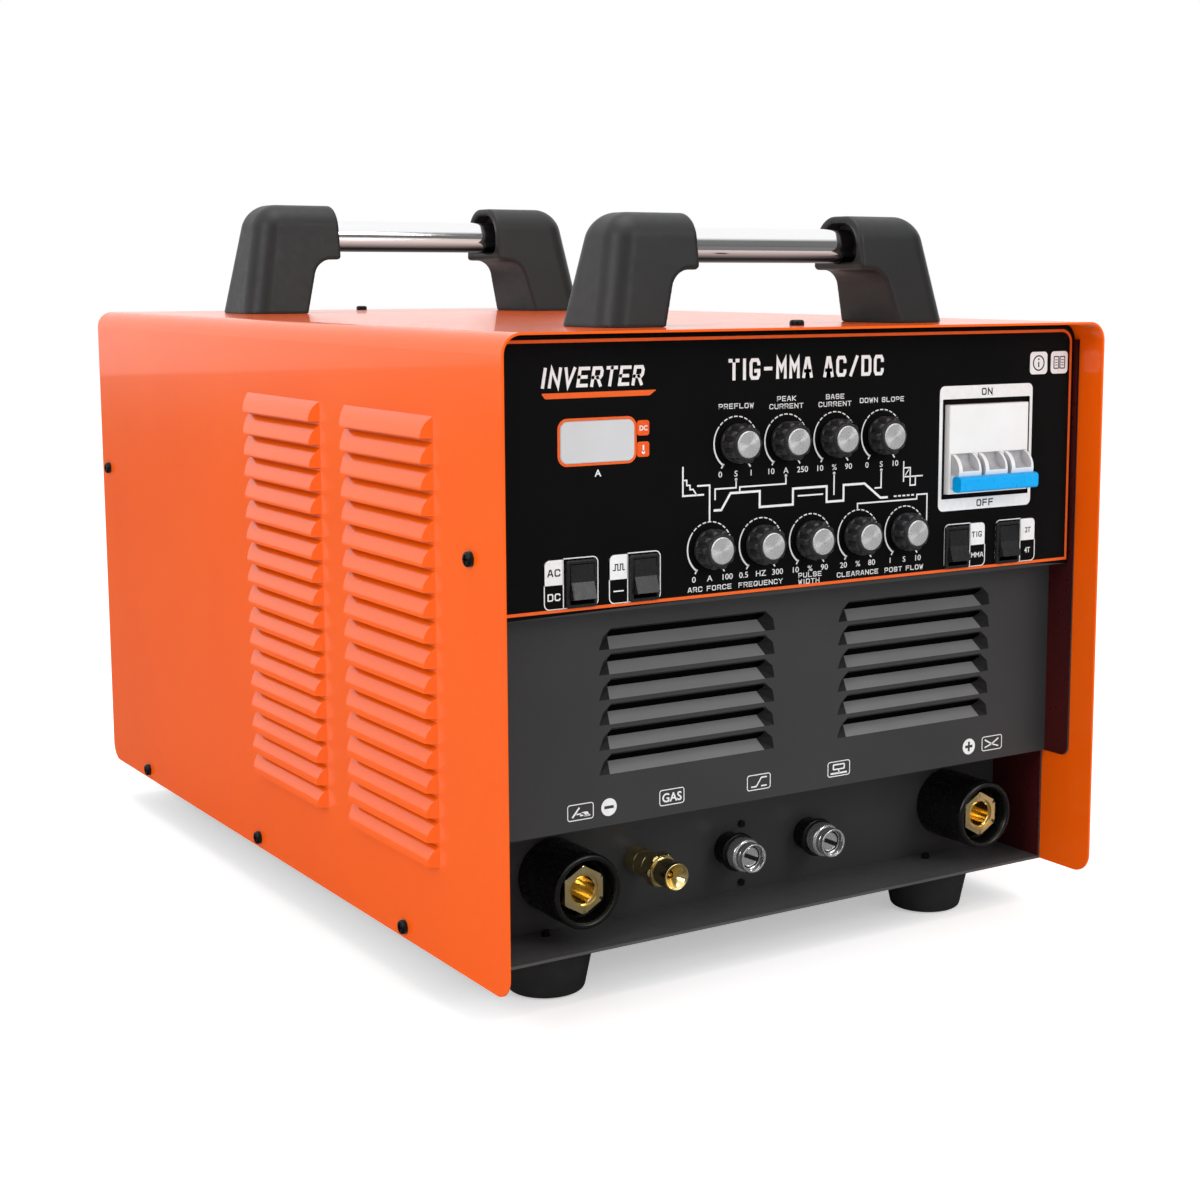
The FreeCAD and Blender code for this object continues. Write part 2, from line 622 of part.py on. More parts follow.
def handle_bolts():
    bolts = []
    z = CASE_H - SKIN
    for x, y in handle_bolt_places():
        head = rod(4.2, (x, y, z - 3.0), (x, y, z))
        shank = rod(2.45, (x, y, z), (x, y, CASE_H + 16))
        bolts.append(head.fuse(shank).cut(block(x - 2.6, x + 2.6, y - 0.6, y + 0.6, z - 4, z - 1.8)))
    return group(bolts)


# ---- knobs and potentiometers ---------------------------------------------------------------
def knob(x, z):
    centre = (x, z)
    skirt = rod(9.6, (x, 17.6, z), (x, KNOB_BACK_Y, z))
    skirt = skirt.makeChamfer(0.6, [e for e in skirt.Edges if e.BoundBox.YMax < 17.7])
    core = rod(8.2, (x, 10.6, z), (x, 17.6, z))
    nose = taper(7.5, 8.2, (x, 9.2, z), (x, 10.6, z))
    shapes = [skirt, core, nose]
    for i in range(10):
        angle = math.radians(36 * i + 18)
        lx, lz = x + 7.9 * math.cos(angle), z + 7.9 * math.sin(angle)
        rib = rod(1.9, (lx, 11.2, lz), (lx, 17.6, lz))
        shapes.append(rib.makeChamfer(0.7, [e for e in rib.Edges if e.BoundBox.YMax < 11.3]))
    body = union(shapes)
    shaft = rod(SHAFT_R, (x, 14.5, z), (x, 33.0, z))
    cap_seat = rod(6.6, (x, 9.0, z), (x, 10.4, z))
    nut_room = ring_y(6.2, SHAFT_R, centre, 15.5, KNOB_BACK_Y + 1)
    return body.cut(group([cap_seat, nut_room])).fuse(shaft)


def knob_cap(x, z):
    cap = rod(6.6, (x, KNOB_FRONT_Y, z), (x, 10.4, z))
    return cap.makeChamfer(0.35, [e for e in cap.Edges if e.BoundBox.YMax < KNOB_FRONT_Y + 0.1])


def potentiometers():
    pots = []
    panel_back = OVERLAY_Y + OVERLAY_T + SKIN
    for _, x, z in knob_places():
        case = rod(8.4, (x, panel_back, z), (x, panel_back + 8.5, z))
        tabs = block(x - 5, x + 5, panel_back + 1, panel_back + 8, z - 13, z - 6)
        bush = rod(3.7, (x, 17.2, z), (x, panel_back, z))
        nut = hexagon(10.2, (x, z), 17.8, OVERLAY_Y)
        bore = rod(SHAFT_R + RUNNING_GAP, (x, 16, z), (x, 34, z))
        pots.append(union([case, tabs, bush, nut]).cut(bore))
    return group(pots)


# ---- rocker switches -------------------------------------------------------------------------
def rocker_switch_bodies():
    bodies = []
    for _, x in SWITCHES:
        bezel_z0, bezel_z1 = SWITCH_Z - BEZEL_H / 2, SWITCH_Z + BEZEL_H / 2
        bezel = rounded_plate_xz(x - BEZEL_W / 2, x + BEZEL_W / 2, bezel_z0, bezel_z1,
                                 1.2, 18.2, OVERLAY_Y)
        bezel = bezel.makeChamfer(0.5, [e for e in bezel.Edges if e.BoundBox.YMax < 18.3])
        case = block(x - 7.0, x + 7.0, OVERLAY_Y, 34.0, SWITCH_Z - 10.0, SWITCH_Z + 10.0)
        well = block(x - ROCKER_W / 2 - GAP, x + ROCKER_W / 2 + GAP, 16, 31, SWITCH_Z - 9.6, SWITCH_Z + 9.6)
        pivot = rod(TRUNNION_R + RUNNING_GAP, (x - 6.9, PIVOT_Y, SWITCH_Z), (x + 6.9, PIVOT_Y, SWITCH_Z))
        tab_zs = [SWITCH_Z + dz for dz in (-6, 0, 6)]
        tabs = [block(x - 2.4, x + 2.4, 34.0, 41.0, z - 0.4, z + 0.4) for z in tab_zs]
        bodies.append(union([bezel, case] + tabs).cut(group([well, pivot])))
    return group(bodies)


def rocker(x):
    """The rocker's paddle, tilted so that its upper half is pressed in and its lower half stands out."""
    half = ROCKER_W / 2
    outline = [(-6.0, 8.2), (-4.9, 0), (-6.0, -8.2), (1.0, -8.0), (3.5, 0), (1.0, 8.0)]
    paddle = prism([Vector(x - half, y, z) for y, z in outline], X * ROCKER_W)
    front_edges = [e for e in paddle.Edges if e.BoundBox.YMax < -4.5 and e.BoundBox.ZLength > 1]
    paddle = paddle.makeChamfer(0.5, front_edges)
    paddle.rotate(Vector(0, 0, 0), X, -ROCKER_TILT)
    paddle.translate(Vector(0, PIVOT_Y, SWITCH_Z))
    trunnion = rod(TRUNNION_R, (x - half - 0.5, PIVOT_Y, SWITCH_Z), (x + half + 0.5, PIVOT_Y, SWITCH_Z))
    return paddle.fuse(trunnion)


# ---- circuit breaker -------------------------------------------------------------------------
def pole_centres():
    return [BREAKER_X + POLE_W * i for i in (-1, 0, 1)]


def breaker_body():
    half = 1.5 * POLE_W
    x0, x1 = BREAKER_X - half, BREAKER_X + half
    z0, z1 = BREAKER_Z - NOSE_H / 2, BREAKER_Z + NOSE_H / 2
    nose = block(x0, x1, NOSE_Y, 44.0, z0, z1)
    nose = nose.makeFillet(0.8, [e for e in nose.Edges if e.BoundBox.YMax < NOSE_Y + 0.1])
    case = block(x0, x1, 30.0, 88.0, BREAKER_Z - 40, BREAKER_Z + 40)
    cuts = []
    for x in pole_centres():
        cuts.append(rod(DRUM_R + 0.35, (x - 8.0, DRUM_Y, DRUM_Z), (x + 8.0, DRUM_Y, DRUM_Z)))
        for z in (BREAKER_Z - 34, BREAKER_Z + 34):
            cuts.append(rod(3.0, (x, 29.0, z), (x, 42.0, z)))
    cuts.append(rod(2.0 + RUNNING_GAP, (x0 + 0.8, DRUM_Y, DRUM_Z), (x1 - 0.8, DRUM_Y, DRUM_Z)))
    return union([nose, case]).cut(group(cuts))


def tie_bar_blank():
    x0 = BREAKER_X - 1.5 * POLE_W - 1.0
    x1 = BREAKER_X + 1.5 * POLE_W - 1.9
    y = DRUM_Y - 10.5
    z = DRUM_Z - 6.2
    half_y, half_z = TIE_BAR_HALF
    outline = rounded_outline(-half_y, half_y, -half_z, half_z, TIE_BAR_CORNER,
                              lambda a, b: Vector(x0, y + a, z + b))
    return outline.extrude(X * (x1 - x0))


def breaker_levers():
    drums = []
    for x in pole_centres():
        drum = rod(DRUM_R, (x - 7.7, DRUM_Y, DRUM_Z), (x + 7.7, DRUM_Y, DRUM_Z))
        scoop = rod(7.0, (x - 5.2, DRUM_Y - 8.0, DRUM_Z + 7.2), (x + 6.3, DRUM_Y - 8.0, DRUM_Z + 7.2))
        drums.append(drum.cut(scoop))
    reach = 1.5 * POLE_W - 1.2
    shaft = rod(2.0, (BREAKER_X - reach, DRUM_Y, DRUM_Z), (BREAKER_X + reach, DRUM_Y, DRUM_Z))
    return union(drums + [shaft]).cut(tie_bar_blank())


# ---- display and lamps ------------------------------------------------------------------------
def display_window():
    x0, x1, z0, z1 = DISPLAY
    play = 0.2
    window = rounded_plate_xz(x0 + play, x1 - play, z0 + play, z1 - play, 3.8, 19.4, 21.0)
    window = window.makeChamfer(0.4, [e for e in window.Edges if e.BoundBox.YMax < 19.5])
    skirt = block(DISPLAY[0] + 1.8, DISPLAY[1] - 1.8, 21.0, 24.0, DISPLAY[2] + 1.8, DISPLAY[3] - 1.8)
    return window.fuse(skirt)


def indicator_lenses():
    lenses = []
    for z in LAMP_ZS:
        lens = rounded_plate_xz(LAMP_X[0] + 0.2, LAMP_X[1] - 0.2, z + 0.2, z + 7.4, 1.3, 19.4, 21.0)
        lenses.append(lens.fuse(block(LAMP_X[0] + 1.2, LAMP_X[1] - 1.2, 21.0, 24.0, z + 1.2, z + 6.4)))
    return group(lenses)


# ---- output sockets and gas fittings -----------------------------------------------------------
def output_socket_collar(x):
    centre = (x, SOCKET_Z)
    barrel = ring_y(COLLAR_R, 13.0, centre, COLLAR_Y, NICHE_Y)
    rim = [e for e in barrel.Edges if e.BoundBox.YMax < COLLAR_Y + 0.1]
    barrel = barrel.makeFillet(1.1, rim)
    mouth = taper(16.2, 14.6, (x, COLLAR_Y - 0.01, SOCKET_Z), (x, COLLAR_Y + 9, SOCKET_Z))
    seat = ring_y(14.0, 11.0, centre, NICHE_Y - 6, NICHE_Y)
    neck = ring_y(11.8, 9.0, centre, NICHE_Y - 6, NICHE_Y + 8)
    return union([barrel.cut(mouth), seat, neck])


def output_socket_contact(x):
    front = COLLAR_Y + 4.6
    head = hexagon(21.6, (x, SOCKET_Z), front, NICHE_Y - 8, 30)
    bevel = taper(11.4, 13.4, (x, front, SOCKET_Z), (x, front + 2.0, SOCKET_Z))
    bevel = bevel.fuse(rod(13.4, (x, front + 2.0, SOCKET_Z), (x, NICHE_Y - 8, SOCKET_Z)))
    head = head.common(bevel)
    stem = rod(8.9, (x, NICHE_Y - 8, SOCKET_Z), (x, NICHE_Y + 26, SOCKET_Z))
    bore = rod(PLUG_BORE_R, (x, front - 1, SOCKET_Z), (x, NICHE_Y - 4, SOCKET_Z))
    keyway = block(x - 1.6, x + 1.6, front - 1, front + 9, SOCKET_Z - 8.6, SOCKET_Z)
    return head.fuse(stem).cut(group([bore, keyway]))


def gas_outlet():
    x, z = GAS_X, GAS_Z
    r = GAS_NOZZLE_R
    barrel = rod(r, (x, 59.0, z), (x, NICHE_Y, z))
    nut = hexagon(16.4, (x, z), 51.0, 59.0, 0)
    nut = nut.common(taper(8.0, 10.2, (x, 51.0, z), (x, 53.0, z)).fuse(rod(10.2, (x, 53.0, z), (x, 59.0, z))))
    nozzle = rod(r, (x, GAS_FRONT_Y, z), (x, 51.0, z))
    tail = rod(5.0, (x, NICHE_Y, z), (x, NICHE_Y + 16, z))
    mouth = taper(r - 0.8, 1.6, (x, GAS_FRONT_Y - 0.01, z), (x, GAS_FRONT_Y + 6.0, z))
    bore = rod(1.6, (x, GAS_FRONT_Y + 5, z), (x, NICHE_Y + 20, z))
    groove = ring_y(r + 1.5, r - 0.6, (x, z), 49.6, 51.0)
    return union([barrel, nut, nozzle, tail]).cut(group([mouth, bore, groove]))


def control_socket_shell(x):
    """The metal shell with its inner face, which has one slanted slot for the plug's key."""
    z = CONTROL_Z
    face_y = CONTROL_Y + 4.0
    mouth = ring_y(7.8, 6.6, (x, z), CONTROL_Y, 66.0)
    mouth = mouth.makeChamfer(0.3, [e for e in mouth.Edges if e.BoundBox.YMax < CONTROL_Y + 0.1])
    face = rod(7.0, (x, face_y, z), (x, 66.0, z))
    slot = block(-5.4, 5.4, face_y - 1, face_y + 3, -1.1, 1.1)
    slot.rotate(Vector(0, 0, 0), Y, 25)
    slot.translate(Vector(x, 0, z))
    shoulder = ring_y(9.0, 7.0, (x, z), 58.5, 66.0)
    rim = [e for e in shoulder.Edges if e.BoundBox.YMax < 58.6 and e.BoundBox.XLength > 17]
    shoulder = shoulder.makeFillet(0.8, rim)
    tail = rod(6.9, (x, 66.0, z), (x, NICHE_Y + 6, z))
    return union([mouth, face, shoulder, tail]).cut(slot)


def control_socket_collar(x):
    """The black ring and sleeve between the shell and the panel."""
    z = CONTROL_Z
    ring = ring_y(10.4, 6.95, (x, z), 66.0, 68.0)
    sleeve = ring_y(8.9, 6.95, (x, z), 68.0, NICHE_Y)
    return union([ring, sleeve])


# ---- rear fittings -----------------------------------------------------------------------------
def cable_gland():
    x, z = GLAND_X, GLAND_Z
    y = REAR_FACE_Y + SKIN
    hexes = hexagon(27.0, (x, z), y, y + 6.0)
    dome = taper(12.6, 9.6, (x, y + 6.0, z), (x, y + 22.0, z))
    thread = rod(9.9, (x, REAR_FACE_Y - 9, z), (x, y, z))
    lock = hexagon(27.0, (x, z), REAR_FACE_Y - 6.0, REAR_FACE_Y)
    return union([hexes, dome, thread, lock]).cut(rod(6.5, (x, y - 20, z), (x, y + 30, z)))


def gas_inlet():
    x, z = GAS_IN_X, GAS_IN_Z
    y = REAR_FACE_Y + SKIN
    nut = hexagon(14.0, (x, z), y, y + 7.0)
    tail = rod(4.5, (x, y + 7.0, z), (x, y + 24.0, z))
    barb = taper(4.5, 3.8, (x, y + 24.0, z), (x, y + 26.0, z))
    inner = rod(5.0, (x, y - 14.0, z), (x, y, z))
    return union([nut, tail, barb, inner]).cut(rod(2.2, (x, y - 20, z), (x, y + 30, z)))


def fan_corners():
    return [(FAN_X + dx, FAN_Z + dz) for dx in (-62.5, 62.5) for dz in (-62.5, 62.5)]


def fan_guard():
    y = REAR_FACE_Y + SKIN
    centre = (FAN_X, FAN_Z)
    pieces = [ring_y(r + 0.9, r - 0.9, centre, y + 1.2, y + 3.2) for r in range(14, 75, 10)]
    for cx, cz in fan_corners():
        pieces.append(rod(5.0, (cx, y, cz), (cx, y + 1.6, cz)))
        reach = math.hypot(cx - FAN_X, cz - FAN_Z)
        spoke = block(-1.2, 1.2, y, y + 1.6, 8.0, reach)
        spoke.rotate(Vector(0, 0, 0), Y, math.degrees(math.atan2(cx - FAN_X, cz - FAN_Z)))
        spoke.translate(Vector(FAN_X, 0, FAN_Z))
        pieces.append(spoke)
    holes = [rod(2.2, (cx, y - 1, cz), (cx, y + 3, cz)) for cx, cz in fan_corners()]
    return union(pieces).cut(group(holes))


def fan_frame():
    y0, y1 = REAR_FACE_Y - FAN_DEPTH, REAR_FACE_Y - 0.2
    half = FAN_SIZE / 2
    frame = rounded_plate_xz(FAN_X - half, FAN_X + half, FAN_Z - half, FAN_Z + half, 8, y0, y1)
    cuts = [rod(FAN_BORE_R, (FAN_X, y0 - 1, FAN_Z), (FAN_X, y1 + 1, FAN_Z))]
    cuts += [rod(2.2, (cx, y0 - 1, cz), (cx, y1 + 1, cz)) for cx, cz in fan_corners()]
    frame = frame.cut(group(cuts))
    motor = rod(26.0, (FAN_X, y0, FAN_Z), (FAN_X, y0 + 8, FAN_Z))
    arms = []
    for i in range(4):
        arm = block(-4, 4, y0, y0 + 4, 20, FAN_BORE_R + 3)
        arm.rotate(Vector(0, 0, 0), Y, 45 + 90 * i)
        arm.translate(Vector(FAN_X, 0, FAN_Z))
        arms.append(arm)
    pin = rod(2.5, (FAN_X, y0 + 8, FAN_Z), (FAN_X, y0 + 38, FAN_Z))
    return union([frame, motor, pin] + arms)


def fan_rotor():
    y0 = REAR_FACE_Y - FAN_DEPTH + 9.0
    hub = rod(27.0, (FAN_X, y0, FAN_Z), (FAN_X, y0 + 32, FAN_Z))
    blades = []
    for i in range(7):
        places = ((-9, y0 + 2), (-7, y0 + 2), (15, y0 + 28), (13, y0 + 28))
        points = [Vector(a, b, 25) for a, b in places]
        blade = prism(points, Z * (FAN_BORE_R - 27))
        blade = blade.common(rod(FAN_BORE_R - 2, (0, y0 - 1, 0), (0, y0 + 34, 0)))
        blade.rotate(Vector(0, 0, 0), Y, 360.0 / 7 * i)
        blade.translate(Vector(FAN_X, 0, FAN_Z))
        blades.append(blade)
    bore = rod(2.5 + RUNNING_GAP, (FAN_X, y0 - 1, FAN_Z), (FAN_X, y0 + 30, FAN_Z))
    return union([hub] + blades).cut(bore)


# ---- inside ------------------------------------------------------------------------------------
def control_board():
    y = 43.0
    board = block(14, 262, y, y + 1.6, 182, 298)
    parts = [block(26 + 34 * i, 44 + 34 * i, y + 1.6, y + 7, 200, 214) for i in range(6)]
    parts += [block(30 + 40 * i, 52 + 40 * i, y + 1.6, y + 10, 232, 240) for i in range(5)]
    parts += [rod(5.0, (40 + 30 * i, y + 1.6, 270), (40 + 30 * i, y + 16, 270)) for i in range(7)]
    readout = block(DISPLAY[0] + 2, DISPLAY[1] - 2, 24.2, y, DISPLAY[2] + 2, DISPLAY[3] - 2)
    posts = [rod(3.0, (x, OVERLAY_Y + OVERLAY_T + SKIN, 292), (x, y, 292)) for x in (20, 256)]
    return union([board, readout] + parts + posts)


def heatsinks():
    sinks = []
    for side in (-1, 1):
        spine_x = CASE_W / 2 + side * 128
        spine = block(min(spine_x, spine_x + side * 6), max(spine_x, spine_x + side * 6), 185, 400, 20, 145)
        fins = [spine]
        for i in range(13):
            z = 22 + 10 * i
            reach = spine_x - side * 38
            fins.append(block(min(reach, spine_x), max(reach, spine_x), 185, 400, z, z + 2))
        feet = []
        for y in (195, 380):
            foot_x0, foot_x1 = sorted((spine_x, spine_x + side * 6))
            feet.append(block(foot_x0, foot_x1, y, y + 14, 1.5, 20))
        sinks.append(union(fins + feet))
    return group(sinks)


def wound_ring(x, y, z0, outer, inner, height, turns):
    """A toroidal core lying flat, wrapped in thick copper turns."""
    z1 = z0 + height
    core = rod(outer, (x, y, z0), (x, y, z1)).cut(rod(inner, (x, y, z0 - 1), (x, y, z1 + 1)))
    wraps = []
    for i in range(turns):
        turn = block(inner - 2.5, outer + 2.5, -2.2, 2.2, z0 - 2.5, z1 + 2.5)
        turn.rotate(Vector(0, 0, 0), Z, 360.0 / turns * i)
        turn.translate(Vector(x, y, 0))
        wraps.append(turn)
    return union([core] + wraps)


def main_transformer():
    ring = wound_ring(CASE_W / 2, 310, 8, 56, 26, 48, 20)
    pad = rod(22.5, (CASE_W / 2, 310, 1.5), (CASE_W / 2, 310, 60))
    disc = rod(50, (CASE_W / 2, 310, 58.5), (CASE_W / 2, 310, 61.5))
    saddle = rod(50, (CASE_W / 2, 310, 1.5), (CASE_W / 2, 310, 5.5))
    return union([ring, pad, disc, saddle])


def output_inductor():
    ring = wound_ring(CASE_W / 2, 185, 8, 42, 20, 40, 16)
    saddle = rod(38, (CASE_W / 2, 185, 1.5), (CASE_W / 2, 185, 5.5))
    post = rod(17.0, (CASE_W / 2, 185, 1.5), (CASE_W / 2, 185, 54))
    disc = rod(36, (CASE_W / 2, 185, 50.5), (CASE_W / 2, 185, 54))
    return union([ring, saddle, post, disc])


def inverter_board():
    board = block(40, CASE_W - 40, 150, BOARD_BACK_Y, BOARD_Z, BOARD_Z + 2)
    posts = [rod(4.0, (x, y, 145), (x, y, BOARD_Z)) for x in (52, CASE_W - 52) for y in (195, 390)]
    modules = []
    for side in (-1, 1):
        x = CASE_W / 2 + side * 100
        modules += [block(x - 11, x + 11, y, y + 34, BOARD_Z + 2, BOARD_Z + 14) for y in (165, 215, 265, 315)]
    coil = rod(16, (CASE_W / 2, 400, BOARD_Z + 2), (CASE_W / 2, 400, BOARD_Z + 30))
    return union([board, coil] + posts + modules)


def filter_capacitors():
    cans = []
    for x in (CASE_W / 2 - 42, CASE_W / 2 + 42):
        for y in (190, 240, 290, 340):
            can = rod(17.5, (x, y, BOARD_Z + 2), (x, y, BOARD_Z + 52))
            cans.append(can.makeFillet(1.8, [e for e in can.Edges if e.BoundBox.ZMin > BOARD_Z + 51]))
    return group(cans)


def gas_valve():
    x, y, z = GAS_IN_X, 476.0, GAS_IN_Z
    body = block(x - 14, x + 14, y - 14, y + 14, z - 14, z + 8)
    coil = rod(12.5, (x, y, z + 8), (x, y, z + 40))
    foot = block(x - 14, x + 14, y - 3, y + 3, 1.5, z - 14)
    ports = [rod(5.0, (x, y - 24, z), (x, y - 14, z)), rod(5.0, (x, y + 14, z), (x, y + 22, z))]
    return union([body, coil, foot] + ports)


def hose_along(points, radius, bend):
    """A round hose along straight runs joined by tangent arcs of the given radius."""
    edges = []
    at = points[0]
    for i in range(1, len(points) - 1):
        before = (points[i - 1] - points[i]).normalize()
        after = (points[i + 1] - points[i]).normalize()
        opening = before.getAngle(after)
        reach = bend / math.tan(opening / 2)
        start = points[i] + before * reach
        end = points[i] + after * reach
        middle_way = (before + after).normalize()
        centre = points[i] + middle_way * (bend / math.sin(opening / 2))
        middle = centre - middle_way * bend
        edges.append(Part.LineSegment(at, start).toShape())
        edges.append(Part.Arc(start, middle, end).toShape())
        at = end
    edges.append(Part.LineSegment(at, points[-1]).toShape())
    path = Part.Wire(edges)
    ring = Part.Wire([Part.makeCircle(radius, points[0], points[1] - points[0])])
    hose = path.makePipeShell([ring], True, False)
    print("hose length", round(path.Length, 1), "arc radius", bend)
    return hose


def gas_hose():
    short = rod(4.6, (GAS_IN_X, 498.2, GAS_IN_Z), (GAS_IN_X, 519.0, GAS_IN_Z))
    lane = 26.0
    long_run = hose_along([
        Vector(GAS_IN_X, 451.8, GAS_IN_Z),
        Vector(GAS_IN_X, 425, GAS_IN_Z),
        Vector(lane, 395, 40),
        Vector(lane, 170, GAS_Z),
        Vector(GAS_X, 135, GAS_Z),
        Vector(GAS_X, NICHE_Y + 16.2, GAS_Z),
    ], 4.6, 45.0)
    return group([short, long_run])


# ---- write every piece ---------------------------------------------------------------------------
def main():
    os.makedirs("parts", exist_ok=True)
    save("cover", cover())
    save("base_pan", base_pan())
    save("front_panel", front_panel())
    save("front_overlay", front_overlay())
    save("rear_panel", rear_panel())
    save("rubber_feet", rubber_feet())
    save("casing_screws", casing_screws())
    save("socket_screws", socket_screws())
    for name, y, k, kz in HANDLES:
        save(name + "_handle_brackets", handle_brackets(y, k, kz))
        save(name + "_handle_tube", handle_tube(y, k, kz))
    save("handle_bolts", handle_bolts())
    for name, x, z in knob_places():
        save(name + "_knob", knob(x, z))
        save(name + "_knob_cap", knob_cap(x, z))
    save("potentiometers", potentiometers())
    save("rocker_switch_bodies", rocker_switch_bodies())
    for name, x in SWITCHES:
        save(name + "_rocker", rocker(x))
    save("breaker_body", breaker_body())
    save("breaker_levers", breaker_levers())
    save("breaker_tie_bar", tie_bar_blank())
    save("display_window", display_window())
    save("indicator_lenses", indicator_lenses())
    save("output_socket_collars", group([output_socket_collar(x) for x in (NEGATIVE_X, POSITIVE_X)]))
    save("output_socket_contacts", group([output_socket_contact(x) for x in (NEGATIVE_X, POSITIVE_X)]))
    save("gas_outlet", gas_outlet())
    save("control_socket_shells", group([control_socket_shell(x) for x in CONTROL_XS]))
    save("control_socket_collars", group([control_socket_collar(x) for x in CONTROL_XS]))
    save("cable_gland", cable_gland())
    save("gas_inlet", gas_inlet())
    save("fan_guard", fan_guard())
    save("fan_frame", fan_frame())
    save("fan_rotor", fan_rotor())
    save("control_board", control_board())
    save("heatsinks", heatsinks())
    save("main_transformer", main_transformer())
    save("output_inductor", output_inductor())
    save("inverter_board", inverter_board())
    save("filter_capacitors", filter_capacitors())
    save("gas_valve", gas_valve())
    save("gas_hose", gas_hose())


main()
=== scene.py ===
import bpy
import bmesh
import math

import numpy
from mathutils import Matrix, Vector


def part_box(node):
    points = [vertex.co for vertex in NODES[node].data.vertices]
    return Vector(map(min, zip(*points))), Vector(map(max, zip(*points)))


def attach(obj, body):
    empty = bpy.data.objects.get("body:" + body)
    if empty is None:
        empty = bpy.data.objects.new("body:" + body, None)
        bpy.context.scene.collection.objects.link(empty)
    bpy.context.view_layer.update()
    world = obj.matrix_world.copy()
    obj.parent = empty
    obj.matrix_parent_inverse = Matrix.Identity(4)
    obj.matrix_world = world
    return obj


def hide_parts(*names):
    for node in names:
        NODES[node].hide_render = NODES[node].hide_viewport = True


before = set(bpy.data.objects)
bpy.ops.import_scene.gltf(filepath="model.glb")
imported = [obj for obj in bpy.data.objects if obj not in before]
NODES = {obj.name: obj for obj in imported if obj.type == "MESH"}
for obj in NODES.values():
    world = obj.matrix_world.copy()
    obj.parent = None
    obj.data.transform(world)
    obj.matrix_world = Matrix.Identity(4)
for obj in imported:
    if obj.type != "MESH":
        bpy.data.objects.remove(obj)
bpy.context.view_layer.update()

import openvdb

from mathutils import Matrix, Vector

MM = 0.001
scene = bpy.context.scene
scene.view_settings.view_transform = "Standard"

# ---- places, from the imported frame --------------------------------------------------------
# Lengths below are millimetres; at(x, y, z) counts x from the casing's left wall, y back from
# its front edge and z up from its underside, and gives metres in the shared frame.
LEFT = (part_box("front_overlay")[0].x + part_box("front_overlay")[1].x) / 2 - 183.0 * MM
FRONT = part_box("cover")[0].y
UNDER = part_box("cover")[0].z
OVERLAY_Y = 20.0
CONTROL_FACE_LOW = 174.5
VENT_FACE_Y = 35.0
VENT_LEFTS = (70.0, 215.2)
VENT_BLADE = (5.4, 99.1)
PRINT_T = 0.12
WELD = 1e-6
SKY = 0.72


def at(x, y, z):
    return Vector((LEFT + x * MM, FRONT + y * MM, UNDER + z * MM))


def local(point):
    """The casing's own millimetres for a point in metres."""
    return Vector(((point.x - LEFT) / MM, (point.y - FRONT) / MM, (point.z - UNDER) / MM))


def middle(node):
    lo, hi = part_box(node)
    return local((Vector(lo) + Vector(hi)) / 2)


def corners(node):
    lo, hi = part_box(node)
    return local(Vector(lo)), local(Vector(hi))


# ---- materials -----------------------------------------------------------------------------
def srgb(red, green, blue):
    def linear(value):
        value /= 255.0
        return value / 12.92 if value <= 0.04045 else ((value + 0.055) / 1.055) ** 2.4
    return (linear(red), linear(green), linear(blue), 1.0)


